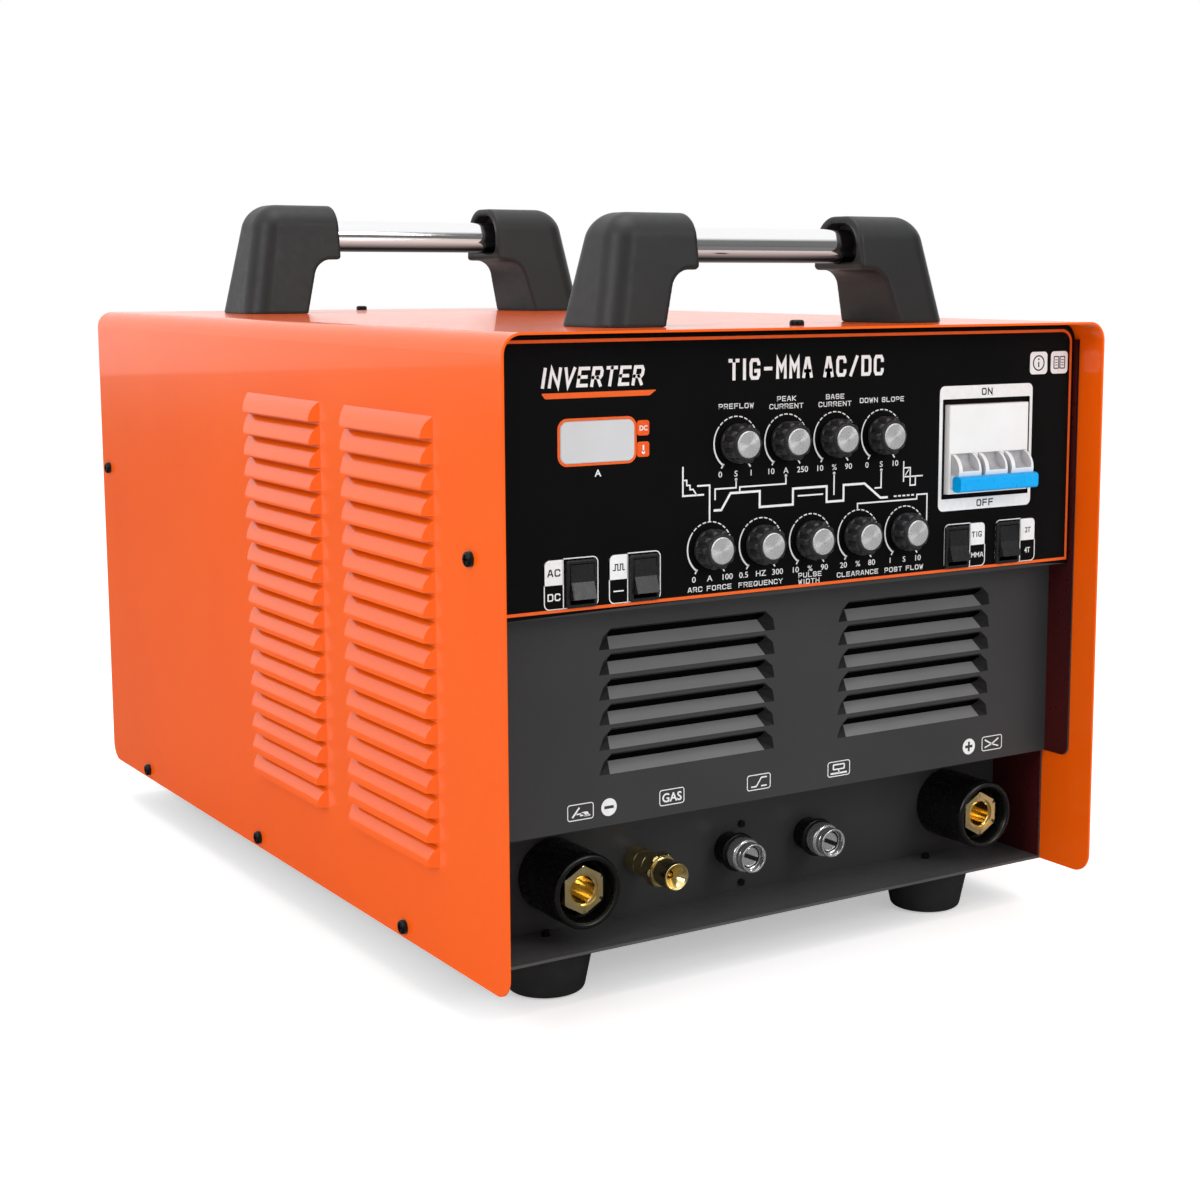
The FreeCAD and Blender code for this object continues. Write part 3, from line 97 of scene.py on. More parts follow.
class Surface:
    """A Principled material with noise-driven colour, roughness and bump, in object space."""

    def __init__(self, name, colour, roughness, metallic=0.0, specular=0.5):
        self.material = bpy.data.materials.new(name)
        self.material.use_nodes = True
        self.tree = self.material.node_tree
        self.shader = self.tree.nodes["Principled BSDF"]
        self.shader.inputs["Base Color"].default_value = colour
        self.shader.inputs["Roughness"].default_value = roughness
        self.shader.inputs["Metallic"].default_value = metallic
        self.shader.inputs["Specular IOR Level"].default_value = specular
        self.colour = colour
        self.roughness = roughness
        self.place = self.add("ShaderNodeTexCoord").outputs["Object"]
        self.height = None

    def add(self, kind):
        return self.tree.nodes.new(kind)

    def link(self, source, target):
        self.tree.links.new(source, target)

    def noise(self, size_mm, detail=3.0, stretch=(1, 1, 1)):
        mapping = self.add("ShaderNodeMapping")
        mapping.inputs["Scale"].default_value = [s / (size_mm * MM) for s in stretch]
        self.link(self.place, mapping.inputs["Vector"])
        noise = self.add("ShaderNodeTexNoise")
        noise.inputs["Scale"].default_value = 1.0
        noise.inputs["Detail"].default_value = detail
        self.link(mapping.outputs["Vector"], noise.inputs["Vector"])
        return noise.outputs["Fac"]

    def spread(self, fac, low, high):
        span = self.add("ShaderNodeMapRange")
        span.inputs["From Min"].default_value = 0.3
        span.inputs["From Max"].default_value = 0.7
        span.inputs["To Min"].default_value = low
        span.inputs["To Max"].default_value = high
        self.link(fac, span.inputs["Value"])
        return span.outputs["Result"]

    def vary_roughness(self, size_mm, amount, stretch=(1, 1, 1)):
        fac = self.noise(size_mm, 4.0, stretch)
        rough = self.spread(fac, self.roughness - amount, self.roughness + amount)
        self.link(rough, self.shader.inputs["Roughness"])
        return self

    def vary_colour(self, size_mm, other, stretch=(1, 1, 1), share=1.0):
        mix = self.add("ShaderNodeMix")
        mix.data_type = "RGBA"
        mix.inputs[6].default_value = self.colour
        mix.inputs[7].default_value = other
        fac = self.spread(self.noise(size_mm, 5.0, stretch), 0.0, share)
        self.link(fac, mix.inputs["Factor"])
        self.link(mix.outputs[2], self.shader.inputs["Base Color"])
        self.mixed = mix.outputs[2]
        return self

    def bump(self, size_mm, height_mm, detail=2.0, stretch=(1, 1, 1)):
        node = self.add("ShaderNodeBump")
        node.inputs["Strength"].default_value = 1.0
        node.inputs["Distance"].default_value = height_mm * MM
        self.link(self.noise(size_mm, detail, stretch), node.inputs["Height"])
        if self.height is not None:
            self.link(self.height, node.inputs["Normal"])
        self.height = node.outputs["Normal"]
        self.link(self.height, self.shader.inputs["Normal"])
        return self

    def seen_polished(self, colour, share=1.0):
        """Mirrored in another part, the surface shows this colour."""
        path = self.add("ShaderNodeLightPath")
        mix = self.add("ShaderNodeMix")
        mix.data_type = "RGBA"
        mix.inputs[7].default_value = colour
        scaled = self.add("ShaderNodeMath")
        scaled.operation = "MULTIPLY"
        scaled.inputs[1].default_value = share
        self.link(path.outputs["Is Glossy Ray"], scaled.inputs[0])
        self.link(scaled.outputs[0], mix.inputs["Factor"])
        self.link(self.mixed, mix.inputs[6])
        self.link(mix.outputs[2], self.shader.inputs["Base Color"])
        return self

    def coat(self, weight, roughness=0.1):
        self.shader.inputs["Coat Weight"].default_value = weight
        self.shader.inputs["Coat Roughness"].default_value = roughness
        return self

    def spun(self, amount):
        """Turned metal: the highlight fans out round the object's own Y axis."""
        self.shader.inputs["Anisotropic"].default_value = amount
        tangent = self.add("ShaderNodeTangent")
        tangent.direction_type = "RADIAL"
        tangent.axis = "Y"
        self.link(tangent.outputs["Tangent"], self.shader.inputs["Tangent"])
        return self


def make_materials():
    m = {}
    orange = Surface("orange_paint", srgb(255, 100, 8), 0.24, specular=0.3).coat(0.35, 0.04)
    orange.vary_colour(90, srgb(252, 96, 7)).vary_roughness(14, 0.03)
    orange.seen_polished((0.62, 0.6, 0.58, 1.0), 0.85)
    m["orange"] = orange.bump(1.6, 0.004).bump(0.35, 0.001).material
    grey = Surface("grey_powder_coat", srgb(62, 62, 63), 0.42, specular=0.3)
    m["grey"] = grey.vary_colour(60, srgb(58, 58, 59)).vary_roughness(8, 0.05).bump(0.7, 0.012).material
    # Painted light: the upward vent blades get a lighter copy of the panel grey for the light falling on them.
    blade = Surface("vent_blade_grey", srgb(122, 122, 123), 0.36, specular=0.4)
    m["blade"] = blade.vary_colour(30, srgb(116, 116, 117)).vary_roughness(5, 0.05).bump(0.7, 0.01).material
    # Painted shade: the vent ends and slots get a near-black copy of the panel grey for the shade in the
    # recesses.
    shaded_facet = Surface("vent_end_painted_shade", srgb(30, 30, 31), 0.5, specular=0.3)
    m["shaded_facet"] = shaded_facet.vary_colour(20, srgb(24, 24, 25)).vary_roughness(5, 0.05).bump(0.7, 0.01).material
    # Painted reflection and shade: the panel's side flanges get a dark red that stands for the orange cover
    # wall mirrored in them, in shade.
    flange_reflection = Surface("flange_painted_orange_reflection", srgb(70, 20, 20), 0.3, specular=0.3)
    m["painted_flange_reflection"] = flange_reflection.vary_colour(70, srgb(58, 17, 19)).vary_roughness(9, 0.05).bump(0.7, 0.01).material
    chassis = Surface("black_powder_coat", srgb(30, 30, 31), 0.5, specular=0.4)
    m["chassis"] = chassis.vary_colour(50, srgb(25, 25, 26)).vary_roughness(8, 0.06).bump(0.7, 0.02).material
    # Painted light: the base pan gets a lighter grey than its dark coat, to cancel the shade on its floor under
    # the vent face.
    pan = Surface("pan_powder_coat", srgb(86, 86, 87), 0.46, specular=0.35)
    m["pan"] = pan.vary_colour(50, srgb(80, 80, 81)).vary_roughness(8, 0.05).bump(0.7, 0.015).material
    overlay = Surface("black_film", srgb(7, 7, 8), 0.5, specular=0.12)
    m["overlay"] = overlay.vary_colour(40, srgb(9, 9, 10)).vary_roughness(6, 0.04).bump(0.25, 0.002).material
    # Painted shade: a black textured sheet behind the vents, standing for the dark inside of the casing.
    foam = Surface("vent_foam", srgb(5, 5, 5), 0.9, specular=0.05)
    m["foam"] = foam.vary_colour(2, srgb(9, 9, 9)).bump(0.9, 0.3, 4.0).material
    handle = Surface("handle_plastic", srgb(35, 36, 37), 0.44, specular=0.4)
    handle.vary_colour(30, srgb(31, 32, 33)).vary_roughness(5, 0.04)
    m["handle"] = handle.bump(0.45, 0.008, 3.0).material
    rubber = Surface("rubber", srgb(36, 36, 37), 0.5, specular=0.4)
    m["rubber"] = rubber.vary_colour(9, srgb(42, 41, 41)).vary_roughness(4, 0.06).bump(0.5, 0.01).material
    m["chrome"] = grip_chrome()
    shell = Surface("socket_chrome", (0.93, 0.93, 0.94, 1.0), 0.12, metallic=0.88)
    m["shell"] = shell.vary_roughness(5, 0.04).bump(0.5, 0.003, 2.0, (1, 4, 1)).material
    steel = Surface("plated_steel", (0.55, 0.55, 0.57, 1.0), 0.3, metallic=1.0)
    m["steel"] = steel.vary_roughness(3, 0.06).bump(0.4, 0.004).material
    cap = Surface("turned_aluminium", (0.9, 0.9, 0.91, 1.0), 0.3, metallic=0.72)
    m["cap"] = cap.vary_roughness(1.2, 0.05).spun(0.85).material
    knob = Surface("knob_plastic", srgb(46, 46, 48), 0.32, specular=0.5)
    m["knob"] = knob.vary_colour(6, srgb(41, 41, 43)).vary_roughness(3, 0.05).bump(0.3, 0.004).material
    rocker = Surface("rocker_plastic", srgb(34, 34, 36), 0.26, specular=0.5)
    m["rocker"] = rocker.vary_colour(8, srgb(29, 29, 31)).vary_roughness(3, 0.05).bump(0.25, 0.003).material
    socket = Surface("socket_plastic", srgb(10, 10, 11), 0.26, specular=0.5)
    m["socket"] = socket.vary_colour(8, srgb(14, 14, 15)).vary_roughness(4, 0.04).bump(0.4, 0.003).material
    brass = Surface("brass", srgb(255, 236, 176), 0.16, metallic=1.0)
    brass.vary_colour(6, srgb(252, 226, 160)).vary_roughness(2.5, 0.05)
    m["brass"] = brass.bump(0.35, 0.003, 2.0, (1, 5, 1)).material
    screw = Surface("black_screw", srgb(24, 24, 26), 0.34, metallic=0.6)
    m["screw"] = screw.vary_roughness(2, 0.06).bump(0.3, 0.004).material
    white = Surface("breaker_white", srgb(246, 246, 246), 0.36, specular=0.4)
    m["white"] = white.vary_colour(20, srgb(241, 241, 240)).vary_roughness(4, 0.04).bump(0.3, 0.003).material
    # Painted shade: the breaker levers' finger hollows get a grey in place of their white, for the shade in the
    # concave scoops.
    hollow = Surface("lever_hollow_painted_shade", srgb(196, 196, 198), 0.5, specular=0.3)
    m["hollow"] = hollow.vary_colour(5, srgb(184, 184, 187)).vary_roughness(3, 0.05).material
    blue = Surface("tie_bar_blue", srgb(0, 172, 246), 0.3, specular=0.3)
    m["blue"] = blue.vary_colour(8, srgb(0, 166, 240)).vary_roughness(3, 0.05).bump(0.3, 0.004).material
    display = Surface("display_window", srgb(212, 214, 216), 0.2, specular=0.2)
    display.vary_colour(30, srgb(206, 208, 210)).vary_roughness(10, 0.03)
    m["display"] = display.bump(0.6, 0.002).material
    lamp = Surface("lamp_orange", srgb(245, 98, 34), 0.24, specular=0.3)
    m["lamp"] = lamp.vary_colour(3, srgb(236, 86, 26)).vary_roughness(2, 0.05).bump(0.3, 0.003).material
    ink = Surface("white_ink", srgb(243, 243, 243), 0.5, specular=0.2)
    m["ink"] = ink.vary_colour(3, srgb(234, 234, 234)).vary_roughness(1.5, 0.06).material
    orange_ink = Surface("orange_ink", srgb(245, 104, 36), 0.5, specular=0.2)
    m["orange_ink"] = orange_ink.vary_colour(4, srgb(238, 96, 30)).vary_roughness(1.5, 0.06).material
    black_ink = Surface("black_ink", srgb(14, 14, 15), 0.5, specular=0.2)
    m["black_ink"] = black_ink.vary_colour(4, srgb(20, 20, 21)).vary_roughness(1.5, 0.06).material
    board = Surface("board_green", srgb(20, 84, 50), 0.4)
    m["board"] = board.vary_colour(4, srgb(30, 104, 62)).vary_roughness(2, 0.08).bump(0.8, 0.02).material
    sink = Surface("extruded_aluminium", (0.72, 0.72, 0.74, 1.0), 0.34, metallic=1.0)
    m["sink"] = sink.vary_roughness(2, 0.06, (1, 0.1, 1)).bump(0.5, 0.01, 2.0, (1, 0.05, 1)).material
    copper = Surface("enamelled_copper", srgb(176, 98, 52), 0.36, metallic=0.8)
    m["copper"] = copper.vary_colour(3, srgb(150, 78, 40)).vary_roughness(2, 0.08).bump(1.2, 0.05).material
    can = Surface("capacitor_sleeve", srgb(30, 32, 40), 0.3)
    m["can"] = can.vary_colour(6, srgb(36, 38, 46)).vary_roughness(3, 0.05).material
    hose = Surface("hose_rubber", srgb(26, 26, 27), 0.5)
    m["hose"] = hose.vary_roughness(4, 0.06).bump(0.6, 0.02).material
    m["floor"] = floor_paint()
    return m


def grip_chrome():
    """Polished tube with a painted reflection: the base colour is bright where the surface faces up and dies to
    black where it faces down.
    """
    chrome = Surface("chrome", (0.95, 0.95, 0.96, 1.0), 0.07, metallic=1.0)
    chrome.vary_roughness(20, 0.02, (0.3, 1, 1)).bump(8, 0.002)
    geometry = chrome.add("ShaderNodeNewGeometry")
    split = chrome.add("ShaderNodeSeparateXYZ")
    ramp = chrome.add("ShaderNodeValToRGB")
    span = chrome.add("ShaderNodeMapRange")
    chrome.link(geometry.outputs["Normal"], split.inputs["Vector"])
    chrome.link(split.outputs["Z"], span.inputs["Value"])
    span.inputs["From Min"].default_value = -1.0
    span.inputs["From Max"].default_value = 1.0
    chrome.link(span.outputs["Result"], ramp.inputs["Fac"])
    ramp.color_ramp.elements[0].position = 0.12
    ramp.color_ramp.elements[0].color = (0.02, 0.02, 0.022, 1.0)
    ramp.color_ramp.elements[1].position = 0.34
    ramp.color_ramp.elements[1].color = (0.95, 0.95, 0.96, 1.0)
    chrome.link(ramp.outputs["Color"], chrome.shader.inputs["Base Color"])
    return chrome.material


def floor_paint():
    """Pale studio floor: near white to the eye, darker where polished parts mirror it."""
    floor = Surface("pale_floor", (0.96, 0.96, 0.96, 1.0), 0.9, specular=0.05)
    floor.vary_colour(400, (0.95, 0.95, 0.95, 1.0)).seen_polished((0.16, 0.16, 0.16, 1.0))
    path = floor.add("ShaderNodeLightPath")
    glow = floor.add("ShaderNodeMath")
    glow.operation = "MULTIPLY"
    glow.inputs[1].default_value = 0.42
    floor.link(path.outputs["Is Camera Ray"], glow.inputs[0])
    floor.link(glow.outputs[0], floor.shader.inputs["Emission Strength"])
    floor.shader.inputs["Emission Color"].default_value = (1.0, 1.0, 1.0, 1.0)
    return floor.material


MAT = make_materials()


# ---- mesh helpers ---------------------------------------------------------------------------
def shade(mesh, angle=32):
    mesh.shade_smooth()
    mesh.set_sharp_from_angle(angle=math.radians(angle))


def piece(name, mesh, material, body="casing", stands_for=()):
    obj = bpy.data.objects.new(name, mesh)
    scene.collection.objects.link(obj)
    if material is not None:
        mesh.materials.clear()
        mesh.materials.append(material)
    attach(obj, body)
    if stands_for:
        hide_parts(*stands_for)
    return obj


def mesh_of(name, verts, faces, angle=32):
    mesh = bpy.data.meshes.new(name)
    mesh.from_pydata([tuple(v) for v in verts], [], faces)
    face_outward(mesh)
    shade(mesh, angle)
    return mesh


def join(name, meshes):
    bm = bmesh.new()
    for mesh in meshes:
        bm.from_mesh(mesh)
    joined = bpy.data.meshes.new(name)
    bm.to_mesh(joined)
    bm.free()
    for mesh in meshes:
        bpy.data.meshes.remove(mesh)
    return joined


def joined_piece(name, meshes, material, stands_for=(), body="casing", angle=32):
    mesh = join(name, meshes)
    shade(mesh, angle)
    return piece(name, mesh, material, body, stands_for)


def circle(x, z, radius, count):
    turns = [math.tau * k / count for k in range(count)]
    return [(x + radius * math.cos(turn), z + radius * math.sin(turn)) for turn in turns]


def soften(points, radius, steps=4, closed=True):
    """Rounds the corners of a flat outline, each by at most 45% of its shorter side."""
    out = []
    count = len(points)
    for i, point in enumerate(points):
        if not closed and i in (0, count - 1):
            out.append(point)
            continue
        here = Vector(point)
        before, after = Vector(points[i - 1]) - here, Vector(points[(i + 1) % count]) - here
        reach = min(radius, 0.45 * before.length, 0.45 * after.length)
        if reach < 1e-6 or before.angle(after) > math.radians(178):
            out.append(point)
            continue
        start, end = here + before.normalized() * reach, here + after.normalized() * reach
        for k in range(steps + 1):
            t = k / steps
            out.append(tuple(start * (1 - t) ** 2 + here * 2 * t * (1 - t) + end * t * t))
    return out


def rounded_rectangle(x0, x1, z0, z1, radius, steps=6):
    points = []
    for cx, cz, first in ((x1 - radius, z0 + radius, -90), (x1 - radius, z1 - radius, 0),
                          (x0 + radius, z1 - radius, 90), (x0 + radius, z0 + radius, 180)):
        for k in range(steps + 1):
            angle = math.radians(first + 90 * k / steps)
            points.append((cx + radius * math.cos(angle), cz + radius * math.sin(angle)))
    return points


def lathe(name, x, z, profile, segments=96, angle=32):
    """Turns a profile of (radius, y) points round the line through (x, z) along Y."""
    verts, faces = [], []
    rings = []
    for radius, y in profile:
        if radius < 1e-4:
            rings.append([len(verts)])
            verts.append(at(x, y, z))
            continue
        ring = []
        for i in range(segments):
            turn = 2 * math.pi * i / segments
            ring.append(len(verts))
            verts.append(at(x + radius * math.cos(turn), y, z + radius * math.sin(turn)))
        rings.append(ring)
    for a, b in zip(rings, rings[1:]):
        if len(a) == 1 and len(b) == 1:
            continue
        for i in range(segments):
            j = (i + 1) % segments
            if len(a) == 1:
                faces.append((a[0], b[j], b[i]))
            elif len(b) == 1:
                faces.append((a[i], a[j], b[0]))
            else:
                faces.append((a[i], a[j], b[j], b[i]))
    return mesh_of(name, verts, faces, angle)


def closed_lathe(name, x, z, profile, segments=96, angle=32, round_by=0.0):
    """A turned ring: the profile is a closed outline of (radius, y) points."""
    outline = soften(profile, round_by) if round_by else list(profile)
    return lathe(name, x, z, outline + [outline[0]], segments, angle)


def polar_body(name, x, z, rings, segments=144, angle=32):
    """A body whose radius is a function of the turn at each y: rings of (y, function)."""
    verts, faces = [], []
    for y, radius_at in rings:
        for i in range(segments):
            turn = 2 * math.pi * i / segments
            radius = radius_at(turn)
            verts.append(at(x + radius * math.cos(turn), y, z + radius * math.sin(turn)))
    for k in range(len(rings) - 1):
        for i in range(segments):
            j = (i + 1) % segments
            a, b = k * segments, (k + 1) * segments
            faces.append((a + i, a + j, b + j, b + i))
    faces.append(tuple(range(segments)))
    faces.append(tuple((len(rings) - 1) * segments + i for i in range(segments)))
    return mesh_of(name, verts, faces, angle)


def hex_radius(across_flats, turn_deg=30):
    def radius_at(turn):
        phase = (math.degrees(turn) - turn_deg) % 60 - 30
        return across_flats / 2 / math.cos(math.radians(phase))
    return radius_at


def mesh_from_curve(curve):
    """The mesh that a curve or a text draws; the curve itself is removed."""
    holder = bpy.data.objects.new(curve.name + "_holder", curve)
    scene.collection.objects.link(holder)
    bpy.context.view_layer.update()
    drawn = holder.evaluated_get(bpy.context.evaluated_depsgraph_get())
    mesh = bpy.data.meshes.new_from_object(drawn)
    bpy.data.objects.remove(holder)
    bpy.data.curves.remove(curve)
    return mesh


def extrude_outline(name, outline, y0, y1, angle=32, holes=()):
    """A flat plate in the XZ plane between y0 (front) and y1, with holes."""
    curve = bpy.data.curves.new(name + "_curve", "CURVE")
    curve.dimensions = "2D"
    curve.fill_mode = "BOTH"
    curve.extrude = abs(y1 - y0) / 2 * MM
    for loop in (outline,) + tuple(holes):
        spline = curve.splines.new("POLY")
        spline.points.add(len(loop) - 1)
        for point, (px, pz) in zip(spline.points, loop):
            point.co = (px * MM, pz * MM, 0.0, 1.0)
        spline.use_cyclic_u = True
    mesh = mesh_from_curve(curve)
    stand_up(mesh, (y0 + y1) / 2)
    face_outward(mesh, WELD)
    shade(mesh, angle)
    return mesh


def stand_up(mesh, y):
    """Takes a mesh drawn in XY millimetre-metres to the XZ plane at depth y of the casing."""
    origin = at(0, y, 0)
    for vertex in mesh.vertices:
        px, pz, depth = vertex.co
        vertex.co = (origin.x + px, origin.y - depth, origin.z + pz)


def face_outward(mesh, weld_within=0.0):
    """Turns every face outward, after joining vertices nearer than weld_within."""
    bm = bmesh.new()
    bm.from_mesh(mesh)
    if weld_within:
        bmesh.ops.remove_doubles(bm, verts=bm.verts, dist=weld_within)
    bmesh.ops.recalc_face_normals(bm, faces=bm.faces)
    bm.to_mesh(mesh)
    bm.free()


def bevel(obj, width_mm, segments=2, angle=35):
    modifier = obj.modifiers.new("edges", "BEVEL")
    modifier.width = width_mm * MM
    modifier.segments = segments
    modifier.limit_method = "ANGLE"
    modifier.angle_limit = math.radians(angle)
    modifier.harden_normals = True
    return modifier


# ---- printed graphics -------------------------------------------------------------------------
def bar(x0, z0, x1, z1, width):
    """The outline of a straight stroke with square ends."""
    along = Vector((x1 - x0, z1 - z0)).normalized() * (width / 2)
    side = Vector((-along.y, along.x))
    a, b = Vector((x0, z0)) - along, Vector((x1, z1)) + along
    return [tuple(a + side), tuple(a - side), tuple(b - side), tuple(b + side)]


def stroke(points, width, closed=False):
    """Strokes along a line of points, mitred into one strip outline."""
    count = len(points)
    left, right = [], []
    for i, point in enumerate(points):
        here = Vector(point)
        before = here - Vector(points[i - 1]) if (i or closed) else None
        after = Vector(points[(i + 1) % count]) - here if (i < count - 1 or closed) else None
        if before is None:
            before = after
        if after is None:
            after = before
        n0 = Vector((-before.y, before.x)).normalized()
        n1 = Vector((-after.y, after.x)).normalized()
        mitre = (n0 + n1).normalized()
        mitre *= width / 2 / max(0.35, mitre.dot(n0))
        left.append(tuple(here + mitre))
        right.append(tuple(here - mitre))
    return left, right


class Print:
    """Gathers flat marks of one ink at one depth and turns them into one thin raised mesh."""

    def __init__(self, name, material, y, body="casing", slot="overlay_black", thick=PRINT_T):
        self.name, self.material, self.y, self.body, self.slot = name, material, y, body, slot
        self.thick = thick
        self.meshes = []

    def plate(self, outline, holes=()):
        mark = extrude_outline(self.name + "_mark", outline, self.y - self.thick, self.y, 32, holes)
        self.meshes.append(mark)

    def line(self, points, width):
        left, right = stroke(points, width)
        self.plate(left + right[::-1])

    def loop(self, outline, width):
        """A closed line of the given width just inside the outline."""
        inner = stroke(outline, 2 * width, closed=True)
        inside = min(inner, key=lambda ring: abs(area_of(ring)))
        self.plate(outline, (inside,))

    def arc(self, x, z, radius, first, last, width, end_width=None, steps=40):
        """An arc from first to last degrees, counted clockwise from straight up."""
        end_width = width if end_width is None else end_width
        outer, inner = [], []
        for k in range(steps + 1):
            t = k / steps
            angle = math.radians(90 - (first + (last - first) * t))
            half = (width + (end_width - width) * t) / 2
            outer.append((x + (radius + half) * math.cos(angle), z + (radius + half) * math.sin(angle)))
            inner.append((x + (radius - half) * math.cos(angle), z + (radius - half) * math.sin(angle)))
        self.plate(outer + inner[::-1])

    def disc(self, x, z, radius, holes=()):
        self.plate(circle(x, z, radius, 40), holes)

    def text(self, words, x, z, height, stretch=1.0, weight=0.0, centre=True):
        """Words whose capitals are height millimetres tall, centred on (x, z)."""
        curve = bpy.data.curves.new(self.name + "_text", "FONT")
        curve.body = words
        curve.align_x = "CENTER" if centre else "LEFT"
        curve.size = height / 0.73 * MM
        curve.offset = weight * MM
        curve.extrude = self.thick / 2 * MM
        curve.resolution_u = 3
        mesh = mesh_from_curve(curve)
        for vertex in mesh.vertices:
            vertex.co.x = vertex.co.x * stretch + x * MM
            vertex.co.y += (z - height / 2) * MM
        stand_up(mesh, self.y - self.thick / 2)
        face_outward(mesh, WELD)
        self.meshes.append(mesh)

    def letters(self, words, x, z, height, width, gap, weight, slant=0.0):
        """Words in plain block capitals drawn with one stroke width, centred on (x, z)."""
        total = sum((width if letter != " " else width * 0.55) + gap for letter in words) - gap
        left = x - total / 2
        for letter in words:
            if letter == " ":
                left += width * 0.55 + gap
                continue
            if letter == "I":
                left -= width * 0.28
            for run in STROKES[letter]:
                points = []
                for a, b in run:
                    px = left + weight / 2 + a * (width - weight)
                    pz = z - height / 2 + weight / 2 + b * (height - weight)
                    points.append((px + slant * (pz - z), pz))
                closed = len(points) > 3 and points[0] == points[-1]
                if closed:
                    left_ring, right_ring = stroke(points[:-1], weight, closed=True)
                    rings = sorted((left_ring, right_ring), key=lambda ring: abs(area_of(ring)))
                    self.plate(rings[1], (rings[0],))
                else:
                    self.line(square_ends(points, weight), weight)
            left += width + gap
            if letter == "I":
                left -= width * 0.28

    def finish(self):
        return joined_piece(self.name, self.meshes, self.material, body=self.body)


def square_ends(points, weight):
    """The same line run on by half its own width at both ends."""
    first, second = Vector(points[0]), Vector(points[1])
    last, before = Vector(points[-1]), Vector(points[-2])
    start = first + (first - second).normalized() * weight / 2
    end = last + (last - before).normalized() * weight / 2
    return [tuple(start)] + list(points[1:-1]) + [tuple(end)]


# Block capitals as runs of points in a unit square. CUT is how far a round corner is cut off.
CUT = 0.16
FAR = 1 - CUT
OVAL = ((CUT, 1), (0, FAR), (0, CUT), (CUT, 0), (FAR, 0), (1, CUT), (1, FAR), (FAR, 1), (CUT, 1))
STROKES = {
    "A": (((0, 0), (0.38, 1), (0.62, 1), (1, 0)), ((0.2, 0.3), (0.8, 0.3))),
    "B": (((0, 0), (0, 1), (FAR, 1), (1, FAR), (1, 0.6), (0.86, 0.5), (1, 0.4), (1, CUT), (FAR, 0), (0, 0)),
          ((0, 0.5), (0.86, 0.5))),
    "C": (((1, 0.78), (1, FAR), (FAR, 1), (CUT, 1), (0, FAR), (0, CUT), (CUT, 0), (FAR, 0), (1, CUT),
           (1, 0.22)),),
    "D": (((0, 0), (0, 1), (FAR, 1), (1, FAR), (1, CUT), (FAR, 0), (0, 0)),),
    "E": (((1, 1), (0, 1), (0, 0), (1, 0)), ((0, 0.5), (0.85, 0.5))),
    "F": (((1, 1), (0, 1), (0, 0)), ((0, 0.5), (0.85, 0.5))),
    "G": (((1, 0.8), (1, FAR), (FAR, 1), (CUT, 1), (0, FAR), (0, CUT), (CUT, 0), (FAR, 0), (1, CUT),
           (1, 0.4), (0.62, 0.4)),),
    "H": (((0, 0), (0, 1)), ((1, 0), (1, 1)), ((0, 0.5), (1, 0.5))),
    "I": (((0.5, 0), (0.5, 1)),),
    "K": (((0, 0), (0, 1)), ((1, 1), (0.12, 0.5), (1, 0))),
    "L": (((0, 1), (0, 0), (1, 0)),),
    "M": (((0, 0), (0, 1), (0.5, 0.45), (1, 1), (1, 0)),),
    "N": (((0, 0), (0, 1), (1, 0), (1, 1)),),
    "O": (OVAL,),
    "P": (((0, 0), (0, 1), (FAR, 1), (1, FAR), (1, 0.55), (FAR, 0.42), (0, 0.42)),),
    "Q": (OVAL, ((0.66, 0.3), (1, 0))),
    "R": (((0, 0), (0, 1), (FAR, 1), (1, FAR), (1, 0.58), (FAR, 0.45), (0, 0.45)), ((0.55, 0.45), (1, 0))),
    "S": (((1, 1 - 1.5 * CUT), (FAR, 1), (CUT, 1), (0, FAR), (0, 0.6), (CUT, 0.5), (FAR, 0.5), (1, 0.4),
           (1, CUT), (FAR, 0), (CUT, 0), (0, 1.5 * CUT)),),
    "T": (((0, 1), (1, 1)), ((0.5, 1), (0.5, 0))),
    "U": (((0, 1), (0, CUT), (CUT, 0), (FAR, 0), (1, CUT), (1, 1)),),
    "V": (((0, 1), (0.5, 0), (1, 1)),),
    "W": (((0, 1), (0.24, 0), (0.5, 0.75), (0.76, 0), (1, 1)),),
    "Y": (((0, 1), (0.5, 0.48), (1, 1)), ((0.5, 0.48), (0.5, 0))),
    "-": (((0.15, 0.5), (0.85, 0.5)),),
    "/": (((0.1, 0), (0.9, 1)),),
}


def area_of(outline):
    total = 0.0
    for (x0, z0), (x1, z1) in zip(outline, outline[1:] + outline[:1]):
        total += x0 * z1 - x1 * z0
    return total / 2


TOP_KNOBS = ("preflow", "peak_current", "base_current", "down_slope")
LOW_KNOBS = ("arc_force", "frequency", "pulse_width", "clearance", "post_flow")
KNOB_WORDS = {
    "preflow": (("PREFLOW",), ("0", "S", "1")),
    "peak_current": (("PEAK", "CURRENT"), ("10", "A", "250")),
    "base_current": (("BASE", "CURRENT"), ("10", "%", "90")),
    "down_slope": (("DOWN SLOPE",), ("0", "S", "10")),
    "arc_force": (("ARC FORCE",), ("0", "A", "100")),
    "frequency": (("FREQUENCY",), ("0.5", "HZ", "300")),
    "pulse_width": (("PULSE", "WIDTH"), ("10", "%", "90")),
    "clearance": (("CLEARANCE",), ("20", "%", "80")),
    "post_flow": (("POST FLOW",), ("1", "S", "10")),
}


